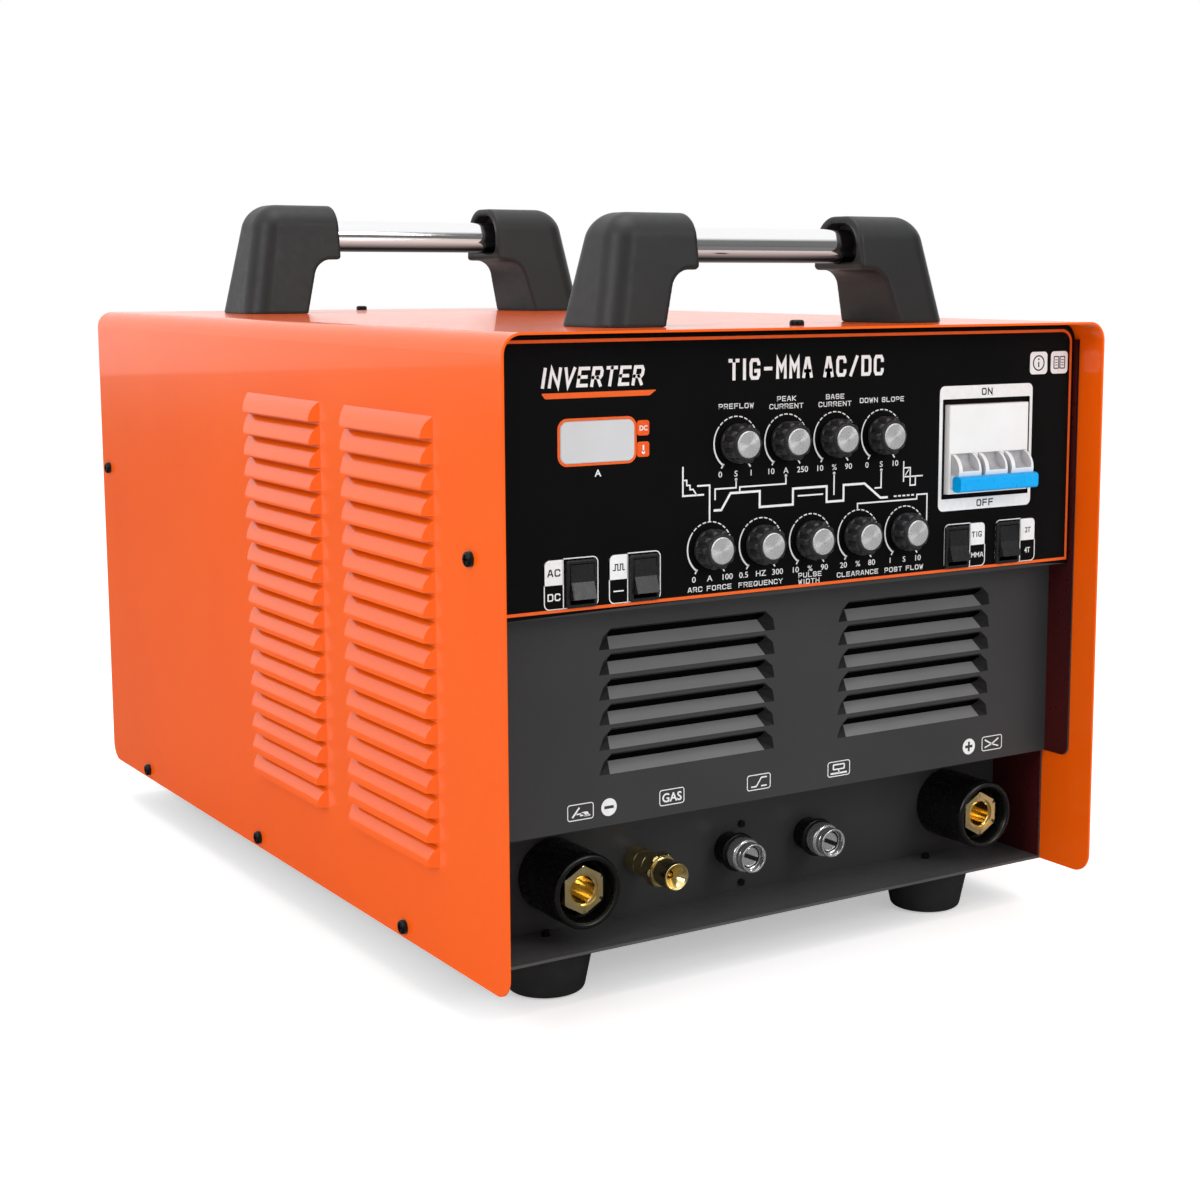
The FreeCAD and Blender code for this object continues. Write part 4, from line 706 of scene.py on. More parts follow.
def knob_scale(ink, name):
    place = middle(name + "_knob_cap")
    x, z = place.x, place.z
    words, numbers = KNOB_WORDS[name]
    radius = 13.0
    ink.arc(x, z, radius, -144, -50, 0.95, 0.6)
    for k in range(14):
        first = -46 + k * 13.5
        ink.arc(x, z, radius, first, first + 9.0, 0.6, 0.6, 6)
    for turn in (-144, 144):
        angle = math.radians(90 - turn)
        ux, uz = math.cos(angle), math.sin(angle)
        ink.plate(bar(x + 12.6 * ux, z + 12.6 * uz, x + 14.4 * ux, z + 14.4 * uz, 0.7))
    top = name in TOP_KNOBS
    for offset, word in zip((-9.3, 0.0, 9.0), numbers):
        shift = {"250": 1.2, "100": 1.2, "300": 1.2, "0.5": -1.0}.get(word, 0.0)
        ink.text(word, x + offset + shift, z - (14.8 if top else 14.6), 3.0, 1.15, 0.0)
    if len(words) == 1:
        rows = [(words[0], 18.0 if top else -19.6)]
    else:
        rows = list(zip(words, (20.6, 16.9) if top else (-17.8, -21.1)))
    for word, offset in rows:
        ink.letters(word, x, z + offset, 2.5, 2.35, 0.7, 0.38)


def wave_diagram(ink):
    """The welding cycle drawn between the two rows of knobs."""
    low, high, base = 216.8, 224.7, 220.9
    ink.line([(126.3, low), (130.8, low), (136.2, high), (153.7, high), (153.7, low), (174.0, low),
              (174.0, high), (195.1, high), (195.1, low), (205.8, low), (205.8, high), (219.3, high),
              (229.8, low), (234.6, low)], 1.15)
    ink.line([(177.0, base), (192.8, base)], 0.75)
    ink.line([(116.6, 229.3), (123.9, 229.3), (123.9, 211.9)], 0.85)
    ink.line([(127.1, 221.8), (127.1, 227.2), (139.5, 227.2), (139.5, 231.4)], 0.75)
    ink.line([(141.7, 225.2), (141.7, 227.4), (169.6, 227.4), (169.6, 231.4)], 0.75)
    ink.line([(199.7, 220.0), (199.7, 231.0)], 0.75)
    ink.line([(225.9, 222.0), (230.1, 222.0), (230.1, 231.0)], 0.75)
    for x, z in ((139.5, 231.2), (169.6, 231.4), (199.7, 231.0), (230.1, 231.0)):
        ink.disc(x, z, 0.75)
    for k in range(5):
        ink.plate(bar(239.0 + 2.9 * k, 217.0, 240.0 + 2.9 * k, 217.0, 0.8))
    ink.line([(214.9, 212.0), (214.9, 214.7), (254.0, 214.7), (254.0, 217.0), (260.9, 217.0),
              (260.9, 203.0)], 0.75)
    ink.line([(108.4, 239.0), (108.4, 224.9), (120.6, 224.9)], 0.85)
    ink.line([(108.6, 232.4), (110.6, 232.4), (110.6, 229.9), (112.5, 229.9), (112.5, 227.8),
              (114.3, 227.8), (116.3, 225.0)], 0.7)
    ink.line([(244.9, 234.8), (244.9, 224.1)], 0.7)
    ink.line([(244.9, 226.7), (257.7, 226.7)], 0.7)
    ink.line([(244.9, 231.3), (249.3, 231.3), (249.3, 222.1), (252.8, 222.1), (252.8, 226.7)], 0.7)
    ink.line([(246.0, 227.5), (248.3, 230.3)], 0.5)


def switch_frames(ink, dark):
    """White outlines, label halves and symbols round the four rocker switches."""
    r = 3.0
    z0, z1, mid = 176.0, 199.9, 187.6
    for x0, x1, divider, label_left in ((31.5, 60.9, 41.9, True), (66.7, 95.7, 77.1, True),
                                        (273.2, 301.9, 291.2, False), (309.0, 337.8, 327.0, False)):
        ink.loop(rounded_rectangle(x0, x1, z0, z1, r), 0.5)
        ink.line([(divider, z0 + 0.3), (divider, z1 - 0.3)], 0.5)
        edge = x0 if label_left else x1
        sign = 1 if label_left else -1
        block = [(divider, mid), (edge, mid), (edge, z1 - r)]
        for k in range(1, 7):
            angle = math.radians(90 * k / 6)
            block.append((edge + sign * (r - r * math.cos(angle)), z1 - r + r * math.sin(angle)))
        block.append((divider, z1))
        ink.plate(block)
    dark.letters("AC", 36.9, 193.4, 3.5, 3.1, 0.7, 0.62)
    ink.letters("DC", 36.9, 182.0, 3.5, 3.1, 0.7, 0.62)
    dark.line([(68.9, 192.0), (70.2, 192.0), (70.2, 194.8), (71.6, 194.8), (71.6, 192.0), (73.0, 192.0),
               (73.0, 194.8), (74.4, 194.8), (74.4, 192.0), (75.4, 192.0)], 0.5)
    ink.line([(69.2, 182.0), (74.9, 182.0)], 0.6)
    dark.letters("TIG", 296.5, 193.3, 3.0, 2.4, 0.6, 0.5)
    ink.letters("MMA", 296.5, 182.2, 2.6, 2.5, 0.5, 0.42)
    dark.text("2T", 332.4, 193.3, 3.0, 0.9, 0.05)
    ink.text("4T", 332.4, 182.2, 3.0, 0.9, 0.05)


def breaker_frame(ink, dark):
    outer = rounded_rectangle(268.5, 333.5, 206.9, 272.5, 3.2)
    window = rounded_rectangle(270.6, 331.6, 213.2, 265.6, 0.4)
    ink.plate(outer, (window,))
    dark.letters("ON", 301.0, 269.0, 3.7, 3.3, 0.9, 0.66)
    dark.letters("OFF", 301.0, 210.1, 3.7, 3.3, 0.9, 0.66)


def corner_icons(ink, dark):
    """Two plain symbols: a dial to read and an open booklet."""
    for x0, x1 in ((331.2, 343.7), (346.3, 358.6)):
        ink.plate(rounded_rectangle(x0, x1, 277.0, 289.0, 2.2))
    x, z = 337.4, 283.0
    dark.loop(circle(x, z, 4.2, 32), 0.7)
    dark.line([(x, z - 2.2), (x, z + 0.6)], 0.8)
    dark.disc(x, z + 2.0, 0.5)
    for side in (-1, 1):
        x = 352.5 + side * 2.2
        dark.loop(rounded_rectangle(x - 2.0, x + 2.0, 279.6, 286.4, 0.5, 3), 0.55)
        for z in (281.6, 283.0, 284.4):
            dark.line([(x - 0.9, z), (x + 0.9, z)], 0.4)


def headings(ink, warm):
    ink.letters("INVERTER", 60.5, 283.4, 9.4, 6.1, 1.4, 1.6, 0.18)
    warm.plate(soften([(31.0, 276.4), (93.5, 276.4), (89.5, 273.8), (33.0, 273.8)], 0.8))
    ink.letters("TIG-MMA AC/DC", 184.5, 284.6, 10.4, 6.4, 1.6, 1.75)


def overlay_print():
    y = OVERLAY_Y
    ink = Print("overlay_white_print", MAT["ink"], y)
    dark = Print("overlay_dark_print", MAT["black_ink"], y - PRINT_T, thick=0.08)
    warm = Print("overlay_orange_print", MAT["orange_ink"], y)
    low_edge = corners("front_overlay")[0].z + 0.15
    outline = [(4.4, 300.8), (361.6, 300.8), (361.6, low_edge), (4.4, low_edge)]
    warm.loop(corner_rounded(outline, [7.2, 7.2, 0, 0]), 1.5)
    low, high = corners("display_window")
    frame_outline = rounded_rectangle(low.x - 1.3, high.x + 1.3, low.z - 1.3, high.z + 1.3, 5.0)
    warm.plate(frame_outline, (rounded_rectangle(low.x - 0.1, high.x + 0.1, low.z - 0.1, high.z + 0.1, 4.0),))
    ink.text("A", 61.0, 238.7, 3.4, 1.1, 0.06)
    headings(ink, warm)
    corner_icons(ink, dark)
    for name in TOP_KNOBS + LOW_KNOBS:
        knob_scale(ink, name)
    wave_diagram(ink)
    switch_frames(ink, dark)
    breaker_frame(ink, dark)
    for group in (ink, dark, warm):
        group.finish()
    lamps = Print("lamp_symbols", MAT["ink"], 19.4, slot="lamp_orange")
    lamp_low, lamp_high = corners("indicator_lenses")
    x = (lamp_low.x + lamp_high.x) / 2
    lamps.text("DC", x, lamp_high.z - 3.6, 2.4, 0.95, 0.08)
    lamps.line([(x, lamp_low.z + 2.4), (x, lamp_low.z + 5.6)], 0.8)
    lamps.disc(x, lamp_low.z + 2.2, 0.9)
    lamps.finish()


def face_icons():
    """The connector symbols printed on the louvred face above the sockets."""
    ink = Print("connector_symbols", MAT["ink"], VENT_FACE_Y, slot="panel_grey")
    z = 73.2
    for x in (59.2, 111.9, 165.0, 216.6, 323.6):
        ink.loop(rounded_rectangle(x - 7.4, x + 7.4, z - 4.1, z + 4.1, 1.5), 0.45)
    ink.line([(54.6, z - 2.4), (58.6, z + 2.2)], 0.9)
    ink.line([(57.0, z - 1.0), (60.4, z - 1.0), (61.6, z - 2.2), (64.6, z - 2.2)], 0.7)
    ink.plate(soften([(58.6, z - 2.2), (60.0, z - 0.2), (63.2, z - 0.2), (64.2, z - 2.2)], 0.5))
    ink.text("GAS", 111.9, z, 4.6, 1.0, 0.12)
    ink.line([(160.2, z - 2.2), (163.4, z - 2.2), (166.6, z + 2.2), (170.0, z + 2.2)], 0.7)
    ink.line([(166.4, z - 2.2), (170.0, z - 2.2)], 0.7)
    window = rounded_rectangle(213.4, 219.8, z + 0.1, z + 1.9, 0.3)
    ink.plate(rounded_rectangle(212.6, 220.6, z - 0.6, z + 2.6, 0.7), (window,))
    ink.line([(211.2, z - 2.4), (222.0, z - 2.4)], 0.9)
    ink.line([(216.6, z - 2.4), (216.6, z - 0.6)], 0.7)
    ink.line([(318.4, z + 2.2), (323.4, z - 0.6), (328.4, z + 2.2)], 0.8)
    ink.line([(318.4, z - 2.2), (323.4, z - 0.6), (328.4, z - 2.2)], 0.7)
    for x, plus in ((75.3, False), (306.8, True)):
        arm, half = 2.7, 0.75
        hole = [(x - arm, z - half), (x + arm, z - half), (x + arm, z + half), (x - arm, z + half)]
        if plus:
            hole = [(x - arm, z - half), (x - half, z - half), (x - half, z - arm), (x + half, z - arm),
                    (x + half, z - half), (x + arm, z - half), (x + arm, z + half), (x + half, z + half),
                    (x + half, z + arm), (x - half, z + arm), (x - half, z + half), (x - arm, z + half)]
        ink.disc(x, z, 4.4, (hole,))
    ink.finish()


# ---- knobs ----------------------------------------------------------------------------------
def knob_piece(name):
    """A skirted control knob with ten rounded finger lobes and a turned aluminium cap."""
    place = middle(name + "_knob_cap")
    x, z = place.x, place.z
    body = name + "_dial"
    skirt = closed_lathe("skirt", x, z, [(3.0, 17.4), (9.0, 17.4), (9.6, 18.0), (9.6, 19.5), (3.0, 19.5)],
                         96, 32, 0.35)

    def lobed(low, high):
        def radius_at(turn):
            wave = 0.5 + 0.5 * math.cos(10 * turn)
            return low + (high - low) * (1 - (1 - wave) ** 2.6) ** 1.5
        return radius_at

    lobes = polar_body("lobes", x, z, [
        (17.5, lobed(7.9, 9.9)), (12.2, lobed(7.9, 9.85)), (11.5, lobed(7.85, 9.65)), (11.0, lobed(7.8, 9.2)),
        (10.8, lobed(7.7, 8.5)), (10.75, lobed(7.0, 7.0))], 200, 40)
    collar = closed_lathe("collar", x, z, [(6.7, 9.2), (7.6, 9.2), (8.1, 10.6), (8.1, 12.0), (6.7, 12.0)],
                          96, 32, 0.25)
    seat = lathe("seat", x, z, [(0.0, 10.4), (6.9, 10.4), (6.9, 11.5), (0.0, 11.5)])
    joined_piece(name + "_lobed_knob", [skirt, lobes, collar, seat], MAT["knob"],
                 (name + "_knob",), body, 35)
    cap_profile = soften([(0.0, 10.4), (6.6, 10.4), (6.6, 8.95), (6.25, 8.6), (0.0, 8.6)], 0.12, 3, False)
    cap = lathe("cap", 0, 0, cap_profile, 96, 30)
    shift = at(x, 0, z) - at(0, 0, 0)
    centre = at(0, 9.5, 0)
    for vertex in cap.vertices:
        vertex.co -= centre
    obj = piece(name + "_turned_cap", cap, MAT["cap"], body, (name + "_knob_cap",))
    obj.location = centre + shift


# ---- round fittings ------------------------------------------------------------------------
def feet():
    meshes = []
    lo, hi = corners("rubber_feet")
    outer = 24.2
    for x in (lo.x + outer, hi.x - outer):
        for y in (lo.y + outer, hi.y - outer):
            profile = soften([
                (2.6, -8.0), (6.0, -8.0), (6.0, -25.0), (19.3, -25.0), (outer, -1.2), (outer, 0.0), (2.6, 0.0)],
                2.4, 6)
            mesh = lathe("foot", 0, 0, profile + [profile[0]], 96, 40)
            turn = Matrix.Rotation(math.radians(90), 4, "X")
            base = at(0, 0, 0)
            for vertex in mesh.vertices:
                flat = turn @ (vertex.co - base)
                vertex.co = at(x, y, 0) + Vector((flat.x, flat.y, flat.z))
            face_outward(mesh)
            meshes.append(mesh)
    joined_piece("moulded_feet", meshes, MAT["rubber"], ("rubber_feet",), angle=40)


def output_sockets():
    lo, hi = corners("output_socket_collars")
    z = (lo.z + hi.z) / 2
    collars, contacts = [], []
    for x in (lo.x + 19.0, hi.x - 19.0):
        collars.append(closed_lathe("collar", x, z, [
            (19.0, 77.0), (19.0, 41.0), (18.0, 39.7), (16.4, 39.7), (15.6, 41.0), (15.2, 48.5), (13.2, 50.0),
            (13.2, 71.0), (9.0, 71.0), (9.0, 77.0)], 120, 32, 0.7))
        flats, bevel_r = hex_radius(21.6, 30), 12.3

        def chamfered(limit, flats=flats):
            return lambda turn: min(flats(turn), limit)

        front = 44.3
        outer = [(69.0, chamfered(20)), (front + 1.5, chamfered(20)), (front + 0.9, chamfered(bevel_r + 0.9)),
                 (front + 0.2, chamfered(bevel_r + 0.1)), (front, chamfered(bevel_r - 0.4)),
                 (front, lambda turn: 8.4), (front + 1.3, lambda turn: 8.2), (front + 1.4, lambda turn: 7.2),
                 (front + 0.6, lambda turn: 6.8), (front + 1.0, keyed(6.5)), (front + 9.0, keyed(6.5)),
                 (front + 26.0, lambda turn: 6.5)]
        contacts.append(polar_body("contact", x, z, outer, 144, 28))
    joined_piece("socket_collars", collars, MAT["socket"], ("output_socket_collars",),
                 angle=35)
    joined_piece("socket_contacts", contacts, MAT["brass"], ("output_socket_contacts",), angle=28)


def keyed(radius, half_width=1.6, reach=8.0):
    """A bore with one square keyway at the bottom."""
    def radius_at(turn):
        down = (turn - 1.5 * math.pi + math.pi) % math.tau - math.pi
        inside = abs(math.sin(down)) * radius < half_width and abs(down) < math.pi / 2
        return reach if inside else radius
    return radius_at


def gas_fitting():
    lo, hi = corners("gas_outlet")
    x, z = (lo.x + hi.x) / 2, (lo.z + hi.z) / 2
    nozzle = closed_lathe("nozzle", x, z, [
        (7.3, 51.0), (6.7, 50.8), (6.7, 49.8), (7.3, 49.4), (7.3, 39.0), (6.9, 38.1), (6.5, 38.0),
        (5.6, 38.9), (1.8, 43.8), (1.5, 44.6), (1.5, 52.0)], 96, 30, 0.18)
    flats = hex_radius(16.4, 0)

    def turned(limit):
        return lambda turn: min(flats(turn), limit)

    nut = polar_body("nut", x, z, [
        (51.0, lambda turn: 7.2), (51.0, turned(8.1)), (51.6, turned(9.0)), (52.1, flats), (57.9, flats),
        (58.4, turned(9.0)), (59.0, turned(8.1)), (59.0, lambda turn: 7.0)], 144, 28)
    barrel = closed_lathe("barrel", x, z, [
        (2.0, 58.9), (6.8, 58.9), (6.8, 60.4), (7.3, 60.8), (7.3, 67.4), (6.9, 67.7), (6.9, 68.3),
        (7.3, 68.6), (7.3, 77.0), (5.0, 77.0), (5.0, 93.0), (2.0, 93.0)], 96, 30, 0.2)
    joined_piece("turned_gas_outlet", [nozzle, nut, barrel], MAT["brass"], ("gas_outlet",), angle=28)


def control_sockets():
    """Two keyed sockets: chrome shells with a slotted inner face behind black rings and sleeves."""
    lo, hi = corners("control_socket_shells")
    z = middle("control_socket_shells").z
    shells, collars, slots = [], [], []
    for x in (lo.x + 9.0, hi.x - 9.0):
        shells.append(closed_lathe("mouth", x, z, [
            (6.6, 56.4), (6.7, 53.1), (6.9, 52.6), (7.5, 52.6), (7.8, 52.9), (7.8, 54.6), (7.5, 55.0),
            (7.5, 55.5), (7.8, 55.9), (7.8, 58.6), (8.4, 58.6), (9.0, 59.3), (9.0, 64.6), (8.4, 65.2),
            (8.4, 66.0), (0.02, 66.0), (0.02, 56.0), (4.6, 56.0), (6.0, 56.7)], 96, 30, 0.15))
        collars.append(closed_lathe("ring", x, z, [
            (8.5, 66.0), (9.7, 66.0), (10.4, 66.6), (10.4, 68.0), (8.5, 68.0)], 96, 30, 0.2))
        collars.append(closed_lathe("sleeve", x, z, [
            (6.9, 68.0), (8.9, 68.0), (8.9, 77.0), (6.9, 77.0)], 96, 30, 0.2))
        turn = math.radians(-25)
        corners_at = []
        for a, b in rounded_rectangle(-5.2, 5.2, -1.15, 1.15, 0.5, 4):
            corners_at.append((x + a * math.cos(turn) - b * math.sin(turn),
                               z + a * math.sin(turn) + b * math.cos(turn)))
        slots.append(extrude_outline("slot", corners_at, 55.9, 58.9))
        hole = circle(x, z, 5.3, 48)
        slots.append(extrude_outline("seal", circle(x, z, 5.9, 48), 56.1, 57.0, 32, (hole,)))
    joined_piece("socket_shells", shells, MAT["shell"], ("control_socket_shells",), angle=30)
    joined_piece("socket_rings", collars + slots, MAT["socket"], ("control_socket_collars",),
                 angle=30)


def grips():
    for end in ("front", "rear"):
        lo, hi = corners(end + "_handle_tube")
        y, z, r = (lo.y + hi.y) / 2, (lo.z + hi.z) / 2, (hi.z - lo.z) / 2
        verts, faces = [], []
        between = [lo.x + (hi.x - lo.x) * k / 12 for k in range(1, 12)]
        stations = [lo.x, lo.x + 0.6] + between + [hi.x - 0.6, hi.x]
        segments = 96
        rings = [(x, r if 0 < i < len(stations) - 1 else r - 0.4) for i, x in enumerate(stations)]
        rings += [(hi.x, r - 1.5), (lo.x, r - 1.5)]
        for x, radius in rings:
            for k in range(segments):
                turn = math.tau * k / segments
                verts.append(at(x, y + radius * math.cos(turn), z + radius * math.sin(turn)))
        for i in range(len(rings)):
            a, b = i * segments, (i + 1) % len(rings) * segments
            for k in range(segments):
                j = (k + 1) % segments
                faces.append((a + k, a + j, b + j, b + k))
        mesh = mesh_of(end + "_grip", verts, faces, 30)
        piece(end + "_grip", mesh, MAT["chrome"], "casing", (end + "_handle_tube",))


def outline_distance(points, a, b):
    """Signed distances from the places (a, b) to a closed outline, negative inside."""
    nearest = numpy.full(a.shape, 1e9)
    inside = numpy.zeros(a.shape, dtype=bool)
    for (x0, y0), (x1, y1) in zip(points, points[1:] + points[:1]):
        dx, dy = x1 - x0, y1 - y0
        share = numpy.clip(((a - x0) * dx + (b - y0) * dy) / (dx * dx + dy * dy), 0.0, 1.0)
        nearest = numpy.minimum(nearest, (a - x0 - share * dx) ** 2 + (b - y0 - share * dy) ** 2)
        if dy:
            crossing = ((y0 > b) != (y1 > b)) & (a < x0 + dx * (b - y0) / dy)
            inside ^= crossing
    return numpy.where(inside, -1.0, 1.0) * numpy.sqrt(nearest)


def blend(a, b, radius):
    """The overlap of two bodies with its meeting edge rounded."""
    pa, pb = numpy.maximum(a + radius, 0.0), numpy.maximum(b + radius, 0.0)
    return numpy.minimum(numpy.maximum(a, b) + radius, 0.0) + numpy.sqrt(pa * pa + pb * pb) - radius


def blend_three(a, b, c, radius):
    """The overlap of three bodies with edges and corners rounded alike."""
    total = sum(numpy.maximum(value + radius, 0.0) ** 2 for value in (a, b, c))
    return numpy.minimum(numpy.maximum(numpy.maximum(a, b), c) + radius, 0.0) + numpy.sqrt(total) - radius


def corner_rounded(points, reaches, steps=8):
    """An outline with each corner rounded by its own reach."""
    out = []
    for i, (point, reach) in enumerate(zip(points, reaches)):
        here = Vector(point)
        if reach <= 0:
            out.append(point)
            continue
        start = here + (Vector(points[i - 1]) - here).normalized() * reach
        end = here + (Vector(points[(i + 1) % len(points)]) - here).normalized() * reach
        for k in range(steps + 1):
            t = k / steps
            weight = 0.7
            low, mid, high = (1 - t) ** 2, 2 * t * (1 - t) * weight, t * t
            out.append(tuple((start * low + here * mid + end * high) / (low + mid + high)))
    return out


# A bracket's drawn sizes: u counts outward from the handle's middle, v along the casing and w up.
HANDLE_TOP = 53.5
BASE_U = 101.3
CROWN_U = 90.3
BASE_HALF = 24.0
CROWN_HALF = 16.3
SLEEVE_U = 47.8
SLEEVE_LOW = 26.6
LEG_U = 61.3
GRIP_W = 38.5
CELL = 0.9


def moulded_handles():
    """The plastic brackets: upright legs with a domed crown and a sleeve over the tube."""
    for end in ("front", "rear"):
        lo, hi = corners(end + "_handle_brackets")
        k, kz = (hi.x - lo.x) / (2 * BASE_U), (hi.z - lo.z) / HANDLE_TOP
        centre_x, centre_y = (lo.x + hi.x) / 2, (lo.y + hi.y) / 2
        us = numpy.arange(44.0 * k, 105.0 * k, CELL)
        vs = numpy.arange(-27.0 * k, 27.0 * k, CELL)
        ws = numpy.arange(-3.0, 57.0 * kz, CELL)
        u, v, w = us[:, None, None], vs[None, :, None], ws[None, None, :]
        inner = corner_rounded([
            (73.0 * k, -15.0 * kz), (200.0, -15.0 * kz), (200.0, 120.0), (SLEEVE_U * k, 120.0),
            (SLEEVE_U * k, SLEEVE_LOW * kz), (LEG_U * k, SLEEVE_LOW * kz)], [0, 0, 0, 0, 2.5, 7.5 * k])
        inner_view = outline_distance(inner, *numpy.meshgrid(us, ws, indexing="ij"))[:, None, :]
        lean_out = (BASE_U - CROWN_U) * k / (HANDLE_TOP * kz)
        lean_side = (BASE_HALF - CROWN_HALF) * k / (HANDLE_TOP * kz)
        outer = (u - BASE_U * k + w * lean_out) / math.hypot(1, lean_out)
        flank = (abs(v) - BASE_HALF * k + w * lean_side) / math.hypot(1, lean_side)
        body = blend_three(outer, flank, w - HANDLE_TOP * kz, 11.5 * k)
        body = blend(body, inner_view + 0 * v, 1.6)
        tunnel = corner_rounded([
            (-14.6 * k, 30.5 * kz), (14.6 * k, 30.5 * kz), (13.6 * k, 50.0 * kz), (-13.6 * k, 50.0 * kz)],
            [5 * k, 5 * k, 10.5 * k, 10.5 * k])
        hollow = outline_distance(tunnel, *numpy.meshgrid(vs, ws, indexing="ij"))[None, :, :]
        body = blend(body, -numpy.maximum(hollow, u - 56.5 * k), 0.7)
        tube = numpy.sqrt(v * v + (w - GRIP_W * kz) ** 2) - 8.4 * k
        body = numpy.maximum(body, -numpy.maximum(tube, u - 74.0 * k))
        body = numpy.maximum(body, -w + 0 * u)
        grid = openvdb.FloatGrid(background=5.0)
        grid.copyFromArray(numpy.clip(body, -5.0, 5.0).astype(numpy.float32))
        places, quads = grid.convertToQuads(isovalue=0.0)
        verts, faces = [], []
        for mirror in (1, -1):
            first = len(verts)
            for i, j, n in places:
                x = centre_x + mirror * (us[0] + i * CELL)
                verts.append(at(x, centre_y + vs[0] + j * CELL, lo.z + ws[0] + n * CELL))
            faces += [tuple(first + int(c) for c in quad) for quad in quads]
        mesh = mesh_of(end + "_moulded_brackets", verts, faces, 38)
        piece(end + "_moulded_brackets", mesh, MAT["handle"], "casing",
              (end + "_handle_brackets",))


def vent_shade_pads():
    """Black pads close behind the two banks of vents: dark sheets that stand for the shade inside the casing.
    """
    for side, x0, x1 in (("left", 66.0, 178.5), ("right", 211.0, 324.0)):
        mesh = extrude_outline(side + "_vent_shade_pad", rounded_rectangle(x0, x1, 84.0, 165.5, 4.0), 41.9, 45.5)
        pad = piece(side + "_vent_shade_pad", mesh, MAT["foam"], "casing")
        bevel(pad, 0.5, 2)


def wire_guard():
    """The rear fan guard: round wire rings on four spokes with flattened eyelets."""
    lo, hi = corners("fan_guard")
    x, z = (lo.x + hi.x) / 2, (lo.z + hi.z) / 2
    y = lo.y
    meshes = []

    def tube(points, radius, closed=False):
        sides, verts, faces = 12, [], []
        count = len(points)
        for i, point in enumerate(points):
            after = points[(i + 1) % count] if (closed or i < count - 1) else point
            before = points[i - 1] if (closed or i) else point
            along = (after - before).normalized()
            side = along.cross(Vector((0, 1, 0))).normalized()
            for k in range(sides):
                turn = math.tau * k / sides
                offset = side * math.cos(turn) + Vector((0, 1, 0)) * math.sin(turn)
                place = point + offset * radius
                verts.append(at(place.x, place.y, place.z))
        spans = count if closed else count - 1
        for i in range(spans):
            a, b = i * sides, (i + 1) % count * sides
            for k in range(sides):
                j = (k + 1) % sides
                faces.append((a + k, a + j, b + j, b + k))
        if not closed:
            faces += [tuple(range(sides)), tuple((count - 1) * sides + k for k in range(sides))]
        return mesh_of("wire", verts, faces, 40)

    for radius in range(14, 75, 10):
        ring = [Vector((ring_x, y + 2.3, ring_z)) for ring_x, ring_z in circle(x, z, radius, 96)]
        meshes.append(tube(ring, 0.85, True))
    for dx in (-1, 1):
        for dz in (-1, 1):
            corner = Vector((x + 62.5 * dx, y + 0.8, z + 62.5 * dz))
            inner = Vector((x + 6 * dx, y + 0.9, z + 6 * dz))
            outer = Vector((x + 59.5 * dx, y + 0.9, z + 59.5 * dz))
            meshes.append(tube([inner, outer], 0.85))
            meshes.append(closed_lathe("eyelet", corner.x, corner.z,
                                       [(2.2, y), (5.0, y), (5.0, y + 1.6), (2.2, y + 1.6)], 40, 30, 0.3))
    joined_piece("wire_guard", meshes, MAT["steel"], ("fan_guard",), angle=40)


# ---- carried-over CAD nodes -------------------------------------------------------------------
def finish_node(node, material, width=0.0, segments=2, angle=32):
    """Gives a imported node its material, smooth faces and, where asked, small rounded edges."""
    obj = NODES[node]
    obj.data.materials.clear()
    obj.data.materials.append(MAT[material])
    shade(obj.data, angle)
    if width:
        bevel(obj, width, segments, angle)
    return obj


def paint_panel():
    """The folded front panel: grey face, painted light on the vent blades, painted shade on the vent ends and
    slots, and a painted orange reflection in shade on the side flanges.
    """
    obj = finish_node("front_panel", "grey")
    mesh = obj.data
    for name in ("blade", "shaded_facet", "painted_flange_reflection", "overlay"):
        mesh.materials.append(MAT[name])
    for face in mesh.polygons:
        place = local(obj.matrix_world @ face.center)
        facing = face.normal
        behind = place.y - VENT_FACE_Y
        if place.z > CONTROL_FACE_LOW:
            face.material_index = 4
        # Side flanges: painted orange reflection in shade.
        if (place.x > 362.0 or place.x < 4.0) and abs(facing.x) > 0.5:
            face.material_index = 3
        # Painted light on the upward blade faces, painted shade on the vent ends and slots.
        if 0.02 < behind < 6.6 and 85.0 < place.z < 164.0:
            mid_blade = any(left + VENT_BLADE[0] < place.x < left + VENT_BLADE[1] for left in VENT_LEFTS)
            face.material_index = 1 if facing.z > 0.35 and abs(facing.x) < 0.15 and mid_blade else 2


def paint_levers():
    """White levers with painted shade: the faces in their finger hollows get a grey material."""
    obj = finish_node("breaker_levers", "white", 0.25)
    mesh = obj.data
    mesh.materials.append(MAT["hollow"])
    middle_y, middle_z = 20.5, 228.0
    for face in mesh.polygons:
        place = local(obj.matrix_world @ face.center)
        inside = math.hypot(place.y - middle_y, place.z - middle_z) < 9.0
        if inside and place.z > middle_z - 2 and place.y < middle_y:
            face.material_index = 1


